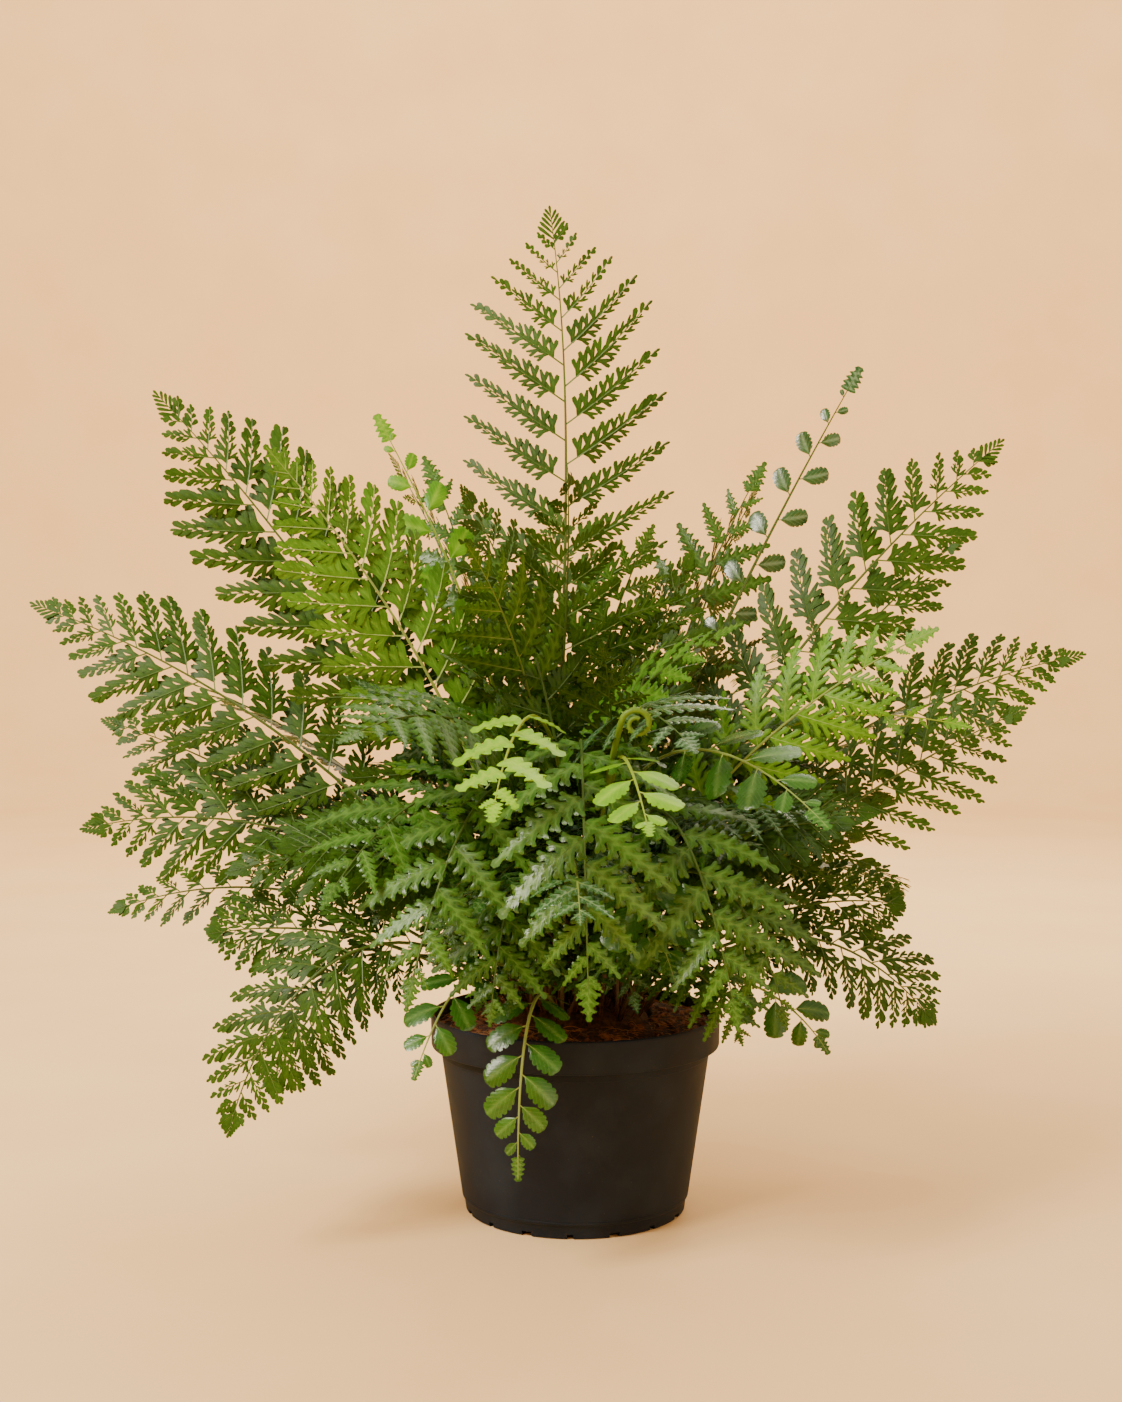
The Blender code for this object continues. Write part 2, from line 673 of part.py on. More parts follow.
def stem_holes(fronds, cutters):
    """One cutter for all the stem holes: a square pin round the foot of each stem."""
    pins = []
    wide = STIPE + 2 * STEM_PLAY
    long = STEM_EXIT + 4
    for frond in fronds:
        foot, out = frond.at(frond.line, np.array([0.0, STEM_EXIT]))
        axis = Vector(out - foot).normalized()
        side = Vector(frond.side[0])
        face = side.cross(axis).normalized()
        turn = Matrix((face.cross(axis), face, axis)).transposed().to_4x4()
        middle = Vector(foot) + axis * (0.5 * long - 0.4)
        pins.append(((wide, wide, long), Matrix.Translation(middle) @ turn))
    return boxes("stem_holes", pins, cutters)


def build():
    remove_all_objects()
    fern = new_collection("potted_fern")
    cutters = new_collection("cutters")
    plastic = finish("black_plastic", (0.028, 0.026, 0.026), 0.55)
    earth = finish("potting_soil", (0.09, 0.045, 0.022), 0.95)
    bark = finish("brown_rhizome", (0.10, 0.055, 0.03), 0.9)
    greens = {
        "lace": finish("dark_frond", (0.035, 0.14, 0.025), 0.5),
        "broad": finish("green_frond", (0.06, 0.21, 0.035), 0.45),
        "round": finish("glossy_frond", (0.045, 0.16, 0.04), 0.3),
    }
    young = finish("young_frond", (0.25, 0.40, 0.05), 0.5)

    pot = make_pot(fern, cutters, plastic)
    soil = make_soil(fern, earth)
    crown = make_crown(fern, bark)

    places = stem_places()
    others = [Piece(pot), Piece(soil), Piece(crown, holds_stems=True)]
    standing = []
    for row in FIDDLEHEADS:
        stalk, item = make_fiddlehead(row, places, fern, young)
        others.append(Piece(item, CLEARANCE))
        standing.append(stalk)
    for number, row in enumerate(FRONDS + back_rows()):
        frond = Frond(row, number)
        if not bend_clear(frond, places, others):
            print("left out, no clear place:", frond.name)
            continue
        others.append(frond)
        standing.append(frond)
    for frond in standing[len(FIDDLEHEADS) :]:
        make_frond(frond, fern, young if frond.name in YOUNG else greens[frond.kind])
        print(frond.name, "bend", frond.bent, "short", sum(n > 0 for n in frond.levels))
    cut(crown, stem_holes(standing, cutters))


build()
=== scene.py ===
# %% [markdown]
# # A potted fern
# The real object is a nursery pot with a root ball, a clump of short rhizomes and fifty-five
# fronds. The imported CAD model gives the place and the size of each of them. This lesson loads it
# first and builds every finer piece around it, so that nothing has to be fitted afterwards.

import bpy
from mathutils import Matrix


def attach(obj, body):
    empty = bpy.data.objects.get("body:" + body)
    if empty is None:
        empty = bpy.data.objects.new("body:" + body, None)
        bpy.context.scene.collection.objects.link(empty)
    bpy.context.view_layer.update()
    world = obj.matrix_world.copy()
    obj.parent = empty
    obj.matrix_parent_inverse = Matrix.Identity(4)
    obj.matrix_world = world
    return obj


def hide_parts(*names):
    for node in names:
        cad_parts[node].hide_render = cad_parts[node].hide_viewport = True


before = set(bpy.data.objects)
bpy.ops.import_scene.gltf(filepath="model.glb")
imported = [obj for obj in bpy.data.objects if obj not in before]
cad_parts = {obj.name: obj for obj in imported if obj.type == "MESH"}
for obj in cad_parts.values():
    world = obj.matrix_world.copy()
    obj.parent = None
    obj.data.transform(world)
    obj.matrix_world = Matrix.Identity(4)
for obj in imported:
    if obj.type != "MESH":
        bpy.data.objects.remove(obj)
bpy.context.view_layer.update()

# %% [markdown]
# ## Small tools
# Blender's operators act on whatever is selected, and the loaded model comes in selected. One
# helper therefore clears the selection and picks a single piece, and another picks corners, edges
# or faces of it by their place, as a hand with a mouse would. The others start a shape from a
# primitive, smooth it and put new objects in the scene. Lengths are kept in millimetres and turned
# into Blender's metres at the last moment.

# %% Tools for selecting and shaping
import math
import random

import bmesh
import bpy
import numpy as np
from mathutils import Matrix, Vector, noise
from mathutils.kdtree import KDTree

MM = 0.001


def only(piece):
    """Selects this object alone and makes it active."""
    bpy.ops.object.select_all(action="DESELECT")
    piece.select_set(True)
    bpy.context.view_layer.objects.active = piece
    return piece


def pick(piece, kind, test):
    """In edit mode, selects the corners, edges or faces whose middle passes the test."""
    bpy.ops.mesh.select_mode(type=kind)
    bpy.ops.mesh.select_all(action="DESELECT")
    shape = bmesh.from_edit_mesh(piece.data)
    for part in {"VERT": shape.verts, "EDGE": shape.edges, "FACE": shape.faces}[kind]:
        corners = [part] if kind == "VERT" else part.verts
        if test(sum((corner.co for corner in corners), Vector()) / len(corners)):
            part.select_set(True)
    bmesh.update_edit_mesh(piece.data)


def picked_middle(piece):
    """In edit mode, the middle of the selected corners."""
    chosen = [v.co for v in bmesh.from_edit_mesh(piece.data).verts if v.select]
    return sum(chosen, Vector()) / len(chosen)


def begin_shape(name, primitive, **settings):
    """Adds a primitive, applies its place and turn, and opens it in edit mode."""
    bpy.ops.object.select_all(action="DESELECT")
    primitive(**settings)
    piece = bpy.context.object
    piece.name = name
    bpy.ops.object.transform_apply(location=True, rotation=True, scale=False)
    bpy.ops.object.mode_set(mode="EDIT")
    return piece


def smooth(piece, angle):
    """Shades the piece smooth, apart from the edges that turn by more than the angle."""
    only(piece)
    bpy.ops.object.shade_smooth_by_angle(angle=math.radians(angle))


def stand(name, data):
    """Puts a new object with this mesh, curve, lamp or camera in the scene."""
    piece = bpy.data.objects.new(name, data)
    bpy.context.scene.collection.objects.link(piece)
    return piece


def new_piece(name, places, faces, values, materials):
    """A mesh object from corners in millimetres and faces, with a list of values for each name."""
    mesh = bpy.data.meshes.new(name)
    mesh.from_pydata((places * MM).tolist(), [], faces)
    for key, numbers in values.items():
        layer = mesh.attributes.new(key, "FLOAT", "POINT")
        layer.data.foreach_set("value", np.concatenate(numbers).astype(np.float32))
    for material in materials:
        mesh.materials.append(material)
    return stand(name, mesh)


# %% [markdown]
# ## The fronds' skeletons
# Every frond of the CAD model is one smooth arch with flat leaflets. Its line follows from a short
# row of numbers: where the tip is, how far it arches, how wide the blade is. The same rows and the
# same formulas are repeated here, so that a finely cut leaflet can grow where each plain one is.

# %% Rows of the fronds in front: name, tip, arch, turn, half width, pairs, kind, bare share
FRONDS = [
    ("tall", (-15, 30, 590), 4, 1.00, 72, 12, "lace", 0.42),
    ("upper_left", (-240, -20, 475), 12, 0.85, 58, 11, "lace", 0.36),
    ("upper_right", (250, 0, 450), 16, 0.85, 50, 10, "lace", 0.36),
    ("left_high", (-315, -10, 355), 20, 0.80, 50, 11, "lace", 0.34),
    ("right_high", (305, 20, 325), 26, 0.85, 42, 11, "lace", 0.36),
    ("right_spray", (255, -40, 295), 14, 0.85, 46, 10, "lace", 0.34),
    ("left_low", (-280, -50, 230), 36, 0.75, 46, 9, "lace", 0.34),
    ("droop_left", (-185, -110, 70), 62, 0.75, 38, 9, "lace", 0.34),
    ("droop_right", (205, -40, 115), 54, 0.70, 36, 9, "lace", 0.36),
    ("left_mid", (-290, 50, 285), 18, 0.70, 42, 9, "lace", 0.38),
    ("left_spray", (-205, -60, 170), 26, 0.80, 32, 8, "lace", 0.46),
    ("left_curl", (-280, 20, 170), 36, 0.60, 28, 8, "lace", 0.40),
    ("trail", (-30, -140, 55), 66, 0.60, 23, 8, "round", 0.28),
    ("rim_left", (-85, -130, 105), 58, 0.60, 22, 5, "round", 0.40),
    ("rim_right", (140, -70, 105), 50, 0.70, 24, 5, "round", 0.34),
    ("slender", (175, 50, 500), 10, 0.90, 18, 7, "round", 0.55),
    ("lobed_left", (-120, 40, 470), 14, 0.90, 24, 6, "round", 0.48),
    ("light_left", (-170, -70, 440), 16, 0.80, 54, 8, "broad", 0.34),
    ("bright_right", (195, -90, 340), 24, 0.85, 46, 9, "broad", 0.30),
    ("apron_mid", (5, -200, 150), 84, 0.45, 56, 7, "broad", 0.44),
    ("apron_right", (80, -175, 140), 80, 0.50, 52, 6, "broad", 0.44),
    ("apron_left", (-85, -175, 150), 80, 0.55, 50, 6, "broad", 0.44),
    ("centre_left", (-115, -200, 285), 56, 0.55, 54, 8, "broad", 0.36),
    ("centre_left2", (-130, -180, 205), 66, 0.55, 50, 6, "broad", 0.38),
    ("blue_centre", (60, -180, 275), 60, 0.60, 54, 6, "broad", 0.38),
    ("glossy_right", (125, -170, 240), 62, 0.70, 30, 6, "round", 0.46),
    ("young_left", (-40, -236, 250), 62, 0.60, 30, 4, "round", 0.66),
    ("young_mid", (32, -232, 244), 62, 0.60, 24, 4, "round", 0.70),
    ("dark_centre", (-60, -150, 205), 66, 0.50, 34, 5, "round", 0.46),
    ("holly_right", (50, -150, 160), 74, 0.60, 34, 5, "round", 0.46),
    ("low_left", (-45, -140, 135), 82, 0.60, 42, 6, "broad", 0.44),
    ("low_right", (110, -125, 130), 78, 0.60, 40, 6, "broad", 0.42),
    ("upper_right2", (120, 80, 445), 12, 0.80, 46, 7, "broad", 0.36),
    ("right_back", (245, 70, 400), 14, 0.80, 36, 7, "lace", 0.42),
    ("right_low", (190, -20, 180), 34, 0.75, 38, 8, "lace", 0.40),
    ("young_right", (220, -60, 285), 50, 0.70, 24, 6, "broad", 0.50),
    ("top_centre", (-60, -80, 385), 30, 0.75, 50, 7, "broad", 0.34),
    ("top_centre2", (45, -40, 400), 22, 0.80, 50, 7, "broad", 0.36),
    ("top_back", (-95, 90, 450), 14, 0.85, 50, 7, "broad", 0.36),
    ("rim_right2", (90, -95, 115), 66, 0.60, 28, 5, "broad", 0.40),
    ("droop_left2", (-170, -60, 80), 58, 0.75, 34, 8, "lace", 0.45),
    ("under_mid", (0, -215, 200), 56, 0.60, 34, 5, "broad", 0.62),
]

# %% Rows of the fronds behind, spaced evenly in three tiers
BACK_TIERS = [
    ("back_low", 250, 165, 30, 150, 4, 46, -0.20),
    ("back_mid", 275, 310, 20, 160, 5, 26, -0.20),
    ("back_high", 190, 440, 50, 130, 2, 14, -0.40),
]
for tier, reach, height, first, last, number, arch, turn in BACK_TIERS:
    for n in range(number):
        azimuth = math.radians(first + (last - first) * n / (number - 1))
        tip = (reach * math.cos(azimuth), reach * math.sin(azimuth), height + 18 * (n % 2))
        FRONDS.append((f"{tier}_{n + 1}", tip, arch, turn, 48, 6, "lace", 0.34))
print(len(FRONDS), "fronds")

# %% The arch of a frond
GOLDEN = math.pi * (3 - math.sqrt(5))  # the turn from one seed of a sunflower to the next
CURL = {"lace": 0.16, "broad": 0.30, "round": 0.22}  # how far the sides of the blade hang down
LEAFLET_WIDTH = {"lace": 0.32, "broad": 0.42, "round": 0.62}
SHARES = (1.0, 0.82, 0.66, 0.52, 0.4, 0.3, 0.22)  # lengths that a leaflet may have, by its full one
TERMINAL = 0.06  # share of the blade that is the frond's last leaflet
CROWDING = 1.35  # how much closer the leaflets stand towards the tip
LOW_LEAN, HIGH_LEAN = 68, 44  # degrees between a leaflet and the stem, at its foot and its tip
STIPE, RACHIS_TIP = 2.2, 0.9  # width of the stem at its foot and its tip
FOOT_COUNT = 62
FOOT_SPREAD, CROWN_RADIUS, CROWN_TOP = 40.0, 45.0, 128.0
BENDS, MOST_BEND, MOST_ROLL = 100, 52.0, 34.0  # steps, millimetres and degrees


def foot_of(n):
    """The foot of a stem, 9 mm deep, at the n-th place of the crown's sunflower spiral."""
    radius = FOOT_SPREAD * math.sqrt((n + 0.5) / FOOT_COUNT)
    level = CROWN_TOP - 13.0 * min(1.0, radius / CROWN_RADIUS) ** 2.2 - 9.0
    return np.array([radius * math.cos(n * GOLDEN), radius * math.sin(n * GOLDEN), level])


class Frond:
    """The line of one frond's midrib and the frame that its blade follows."""

    def __init__(self, row, number):
        self.name, tip, self.arch, self.turn, self.half, self.pairs, self.kind, self.bare = row
        self.tip = np.array(tip, float)
        draw = random.Random(number)
        self.sway = draw.uniform(-0.05, 0.05)
        self.lifts = [draw.uniform(-0.10, 0.10) for _ in range(2 * self.pairs)]

    def bend(self, number):
        """The small bend that keeps the frond clear of its neighbours."""
        share = (number / BENDS) ** 0.8
        angle = number * GOLDEN
        height = 1 - 2 * ((number * 0.618) % 1.0)
        flat = math.sqrt(1 - height * height)
        way = np.array([0.55 * flat * math.cos(angle), flat * math.sin(angle), 0.55 * height])
        self.reach = self.tip + way * share * MOST_BEND
        self.roll = math.radians(MOST_ROLL * share * math.cos(2.3 * number + 0.4))

    def lay(self, foot):
        """One smooth arch from the foot to the tip, and the blade's directions along it."""
        chord = self.reach - foot
        length = np.linalg.norm(chord)
        flat = np.array([chord[0], chord[1], 0.0]) / math.hypot(chord[0], chord[1])
        climb = math.atan2(chord[2], chord @ flat)
        arch = math.radians(self.arch)
        handle = length / (3 * math.cos(arch / 2) ** 2) * (1 + max(0.0, self.arch - 45) / 60.0)
        up = np.array([0.0, 0.0, 1.0])
        sway = np.cross(up, flat) * self.sway * length
        start = flat * math.cos(climb + arch) + up * math.sin(climb + arch)
        end = flat * math.cos(climb - arch) + up * math.sin(climb - arch)
        t = np.linspace(0, 1, 49)[:, None]
        u = 1 - t
        p1, p2 = foot + start * handle + sway, self.reach - end * handle - sway
        self.line = u**3 * foot + 3 * u * u * t * p1 + 3 * u * t * t * p2 + t**3 * self.reach
        steps = np.linalg.norm(np.diff(self.line, axis=0), axis=1)
        self.along = np.concatenate([[0], np.cumsum(steps)])
        self.length = self.along[-1]
        tangent = np.gradient(self.line, axis=0)
        self.tangent = tangent / np.linalg.norm(tangent, axis=1)[:, None]
        front = np.array([0.0, -math.copysign(1, self.turn), 0.25])
        face = up * (1 - abs(self.turn)) + front * abs(self.turn)
        side = np.cross(self.tangent, face)
        side /= np.linalg.norm(side, axis=1)[:, None]
        normal = np.cross(side, self.tangent)
        self.side = side * math.cos(self.roll) + normal * math.sin(self.roll)
        self.normal = normal * math.cos(self.roll) - side * math.sin(self.roll)

    def at(self, table, s):
        """A row of the line, the tangents, the sides or the normals, at s along the frond."""
        return np.stack([np.interp(s, self.along, table[:, k]) for k in range(3)], axis=1)

    def spread(self, s, v, lift):
        """Places on the flat blade, along, across and above it, to places in the arched one."""
        over = np.maximum(0, s - self.length)
        on = np.minimum(s, self.length)
        fall = lift - CURL[self.kind] * v * v / self.half
        place = self.at(self.line, on) + self.at(self.tangent, on) * over[:, None]
        return place + self.at(self.side, on) * v[:, None] + self.at(self.normal, on) * fall[:, None]

    def midrib(self, s):
        """Half the width of the stem at s along the frond."""
        first = self.bare * self.length
        share = np.clip((s - first) / (self.length - first), 0, 1)
        return 0.5 * (STIPE + (RACHIS_TIP - STIPE) * share)


# %% [markdown]
# ## Leaflets along a frond
# On the real plant the leaflets stand in two rows and get shorter and closer together towards the
# tip. The lower ones stand out from the rib, the upper ones lean forward. Each leaflet is kept as
# a small record of where it starts, how it leans, how long and how wide it is.

# %% Where the leaflets are
def blade_profile(x, kind):
    """The share of the full width that the leaflets have at x along the blade."""
    least = {"lace": 0.82, "broad": 0.66, "round": 0.72}[kind]
    taper = {"lace": 0.33, "broad": 0.38, "round": 0.36}[kind]
    low = least + (1 - least) * min(1.0, x / 0.22)
    return max(0.16, low * min(1.0, (1 - x) / taper) ** 0.85)


class Leaflet:
    """One of a frond's leaflets, if it has so many pairs: its side, root, lean, length and width."""

    def __init__(self, frond, n, pairs, room=0.86):
        first = frond.bare * frond.length
        blade = (frond.length - first) * (1 - TERMINAL)
        j, self.side = n // 2, (-1, 1)[n % 2]
        share = 1 - (1 - j / pairs) ** CROWDING
        after = 1 - (1 - (j + 1) / pairs) ** CROWDING
        self.x = share + (0.42 * (after - share) if self.side > 0 else 0)
        self.root = first + blade * self.x + 1.2
        self.angle = math.radians(LOW_LEAN - (LOW_LEAN - HIGH_LEAN) * self.x)
        self.long = max(5.0, frond.half * blade_profile(self.x, frond.kind))
        step = room * blade * (after - share) * math.sin(self.angle)
        wide = min(LEAFLET_WIDTH[frond.kind] * self.long, step)
        self.wide = max(wide, min(2.6, 0.5 * self.long))
        self.edge = float(frond.midrib(self.root))
        self.share = 1.0

    def flat(self, p, h):
        """Places along (p) and across (h) the leaflet, to places along and across the frond."""
        s = self.root + p * math.cos(self.angle) + h * math.sin(self.angle)
        return s, self.side * (p * math.sin(self.angle) - h * math.cos(self.angle))

    def place(self, p, h, lift):
        """The same with the height above the blade; a leaflet rises or falls towards its tip."""
        return *self.flat(p, h), lift + self.lift * p / max(self.long * self.share, 1e-6) * p


# %% [markdown]
# ## Matching the CAD nodes
# In the CAD model some fronds are bent a few millimetres and some leaflets are shortened, to keep
# clear of each other. Rather than copying those choices by hand, each one is found again: the bend
# and the foot whose line passes through the node's corners, and the length that puts a leaflet's
# tip on a corner.

# %% Find each frond's bend, foot and leaflet lengths
FEET = [foot_of(n) for n in range(FOOT_COUNT)]


def misses(tree, places):
    """How far each place is from the nearest corner."""
    return [tree.find(Vector(place))[2] for place in places]


def match(frond, node):
    """Sets the frond to the CAD node's own bend, foot and leaflet lengths; returns the largest miss."""
    corners = KDTree(len(node.data.vertices))
    for n, vertex in enumerate(node.data.vertices):
        corners.insert(vertex.co / MM, n)
    corners.balance()
    feet = [foot for foot in FEET if corners.find(Vector(foot))[2] < 2.2]
    best = (1e9, 0, feet[0])
    for bend in range(BENDS):
        frond.bend(bend)
        if corners.find(Vector(frond.reach))[2] > 1.0:
            continue
        for foot in feet:
            frond.lay(foot)
            marks = frond.at(frond.line, np.array([0.0, 14.0, frond.length]))
            roots = [Leaflet(frond, n, frond.pairs) for n in range(2 * frond.pairs)]
            s = np.array([leaf.root for leaf in roots])
            v = np.array([leaf.side * leaf.edge for leaf in roots])
            marks = np.concatenate([marks, frond.spread(s, v, s * 0)])
            best = min(best, (sum(misses(corners, marks)), bend, tuple(foot)))
    frond.bend(best[1])
    frond.lay(np.array(best[2]))
    frond.plain = [Leaflet(frond, n, frond.pairs) for n in range(2 * frond.pairs)]
    worst = 0.0
    for leaf, lift in zip(frond.plain, frond.lifts):
        leaf.lift = lift
        tip = 0.1 if frond.kind == "round" else (0.3 if leaf.long < 42 else 0.4)
        p = np.array([leaf.long * share + leaf.edge for share in SHARES])
        h = np.array([0.5 * leaf.wide * tip * share for share in SHARES])
        tips = frond.spread(*leaf.flat(p, h), lift * p)
        miss, leaf.share = min(zip(misses(corners, tips), SHARES))
        worst = max(worst, miss)
    frond.foot = np.array(best[2])
    return worst


fronds = []
for number, row in enumerate(FRONDS):
    frond = Frond(row, number)
    if frond.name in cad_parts:
        frond.miss = match(frond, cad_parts[frond.name])
        fronds.append(frond)
print(len(fronds), "fronds matched, the worst leaflet tip is off by", max(f.miss for f in fronds), "mm")

# %% [markdown]
# ## Leaf blanks
# A fern leaf looks rich because one small shape is repeated hundreds of times. So each shape is
# modelled once, flat, as a blank, and copies of the blanks are then set along each frond. A leaf
# blank is a grid whose rows are scaled to the leaf's outline, with lobes pulled out of its edges.
# It keeps a value at each corner, 0 on its veins and 1 on its margin, which the material later
# turns into veins.

# %% A strip as wide as its outline
def leaf_strip(name, widths, columns=2):
    """A flat strip from the origin to 1 along X, with the half width that each row asks for."""
    rows = len(widths) - 1
    strip = begin_shape(
        name,
        bpy.ops.mesh.primitive_grid_add,
        x_subdivisions=rows,
        y_subdivisions=columns,
        size=1,
        location=(0.5, 0, 0),
    )
    for row, width in enumerate(widths):
        place = row / rows
        pick(strip, "VERT", lambda p: abs(p.x - place) < 0.01)
        bpy.ops.transform.resize(value=(1, 2 * width, 1), center_override=(place, 0, 0))
    return strip


# %% Pull a lobe out of the edge of a strip
def pull_lobe(strip, spots, lean, steps, teeth=0.0):
    """Extrudes the edges at the spots along the lean; each step is (advance, scale, turn).

    The last edges then end in a tooth each, or in one blunt tip where teeth is 0.
    """
    pick(strip, "EDGE", lambda p: any((p.xy - Vector(spot)).length < 0.003 for spot in spots))
    way = Vector((math.cos(lean), math.sin(lean), 0))
    for advance, scale, turn in steps:
        bpy.ops.mesh.extrude_edges_move(TRANSFORM_OT_translate={"value": way * advance})
        middle = picked_middle(strip)
        bpy.ops.transform.rotate(value=-turn, orient_axis="Z", center_override=middle)
        bpy.ops.transform.resize(value=(scale, scale, 1), center_override=middle)
    if teeth:
        chosen = [edge for edge in bmesh.from_edit_mesh(strip.data).edges if edge.select]
        ends = [(edge.verts[0].co + edge.verts[1].co) / 2 for edge in chosen]
        for end in ends:
            pick(strip, "EDGE", lambda p: (p - end).length < 1e-4)
            bpy.ops.mesh.extrude_edges_move(TRANSFORM_OT_translate={"value": way * teeth})
            bpy.ops.transform.resize(value=(0.45, 0.45, 1), center_override=picked_middle(strip))


# %% [markdown]
# A leaf is thickest on its veins and thin at its margin. A flat blank is therefore closed into a
# slim solid: the corners inside the margin are doubled, one above and one below, and the margin's
# own corners are shared by both sides. That takes a third fewer faces than a rim all round. An edge
# that crosses a lobe from margin to margin first gets a corner in its middle, to be doubled too.

# %% Turn a finished blank into lists to copy from
LOBE_MIDDLE = 0.22  # the margin value in the middle of a lobe, between its vein and its edge


class Blank:
    """A modelled blank as lists: 1 long, 1 to each side, and 1 above and below where it is thick."""

    def __init__(self, piece, flat=False, half_way=False):
        self.half_way = half_way
        if flat:
            bpy.ops.mesh.select_all(action="SELECT")
            bpy.ops.mesh.normals_make_consistent(inside=False)
            if sum(face.normal.z for face in bmesh.from_edit_mesh(piece.data).faces) < 0:
                bpy.ops.mesh.flip_normals()
        bpy.ops.object.mode_set(mode="OBJECT")
        mesh = piece.data
        self.name = piece.name
        self.points = np.array([vertex.co for vertex in mesh.vertices])
        self.faces = [tuple(polygon.vertices) for polygon in mesh.polygons]
        self.under = [polygon.normal.z < -0.05 for polygon in mesh.polygons]
        self.margin = np.zeros(len(self.points))
        if flat:
            self.close()
        bpy.data.objects.remove(piece)
        print("blank", self.name, "has", len(self.faces), "faces")

    def close(self):
        """Makes the flat blank a slim solid: what lies inside its rim is raised, and lowered below."""
        used = {}
        for face in self.faces:
            for pair in zip(face, face[1:] + face[:1]):
                used[frozenset(pair)] = used.get(frozenset(pair), 0) + 1
        rim = {corner for pair, times in used.items() if times == 1 for corner in pair}
        points, middles = [*self.points], {}
        for pair, times in used.items():
            if times == 2 and pair <= rim:
                middles[pair] = len(points)
                points.append(np.mean([points[n] for n in sorted(pair)], axis=0))
        top = []
        for face in self.faces:
            corners = []
            for pair in zip(face, face[1:] + face[:1]):
                corners.append(pair[0])
                if frozenset(pair) in middles:
                    corners.append(middles[frozenset(pair)])
            top.append(tuple(corners))
        self.points = np.array(points)
        inner = [n for n in range(len(points)) if n not in rim]
        below = {n: len(points) + k for k, n in enumerate(inner)}
        self.points[:, 0] /= self.points[:, 0].max()
        self.points[:, 1] /= abs(self.points[:, 1]).max()
        self.points[inner, 2] = 1.0
        self.margin = np.array([float(n in rim) for n in range(len(points))])
        self.margin[list(middles.values())] = LOBE_MIDDLE
        quarter = [n for n in inner if self.half_way and abs(self.points[n, 1]) > 0.04]
        self.margin[quarter] = 0.5
        self.points = np.concatenate([self.points, self.points[inner] * (1, 1, -1)])
        self.margin = np.concatenate([self.margin, self.margin[inner]])
        back = [tuple(below.get(n, n) for n in face[::-1]) for face in top]
        self.under = [False] * len(top) + [True] * len(back)
        self.faces = top + back


# %% [markdown]
# ### Pinnules of the lacy fronds
# The lacy fronds are cut twice: each leaflet has a thin axis of its own with two rows of narrow,
# blunt pinnules, and those nearest the main stem are forked into two or three fingers. There are
# thousands of them, so the simple one is only a disc of eight corners round one in the middle, whose
# four rows of corners are moved to a pinnule's outline. The forked ones are a short strip with
# fingers pulled out of its edges.

# %% The narrow pinnule
pinnule_piece = begin_shape(
    "pinnule",
    bpy.ops.mesh.primitive_circle_add,
    vertices=8,
    fill_type="TRIFAN",
    radius=1,
    rotation=(0, 0, math.pi / 8),
)
pick(pinnule_piece, "VERT", lambda p: p.length < 0.1)
bpy.ops.transform.translate(value=(3.60, 0, 0))
# For each row of corners: where it is on the disc, and its place and its width on the pinnule.
ROWS = ((0.924, 1.0, 1.0), (0.383, 0.80, 1.08), (-0.383, 0.36, 0.82), (-0.924, 0.0, 0.85))
for was, place, width in ROWS:
    pick(pinnule_piece, "VERT", lambda p: abs(p.x - was) < 0.01)
    bpy.ops.transform.resize(value=(1, width, 1), center_override=(was, 0, 0))
    bpy.ops.transform.translate(value=(place - was + 3, 0, 0))
bpy.ops.mesh.select_all(action="SELECT")
bpy.ops.transform.translate(value=(-3, 0, 0))
pinnule = Blank(pinnule_piece, flat=True)


# %% The forked pinnules
def forked_pinnule(name, fingers):
    """A pinnule with fingers at its sides; each is (row of the strip, side, lean, length)."""
    widths = (0.060, 0.120, 0.115, 0.060)
    strip = leaf_strip(name, widths)
    for row, side, lean, long in fingers:
        spot = ((row + 0.5) / 3, side * (widths[row] + widths[row + 1]) / 2)
        lean = side * math.radians(lean)
        turn = lean - side * math.pi / 2
        pull_lobe(strip, [spot], lean, ((0.64 * long, 0.70, turn * 0.8), (0.36 * long, 0.62, 0)))
    return Blank(strip, flat=True)


three_fingers = forked_pinnule("three_fingers", ((0, 1, 36, 0.56), (1, -1, 34, 0.40)))
two_fingers = forked_pinnule("two_fingers", ((1, 1, 33, 0.38),))

# %% [markdown]
# ### Lobed leaflets of the broad fronds
# The middle of the plant has broader leaflets: one blade with a winged midrib, cut half-way into
# lobes that lean forward and end in teeth. Two edges of the strip are pulled out together for each
# lobe, so the corner between them becomes the lobe's vein, and each of the two ends in a tooth.

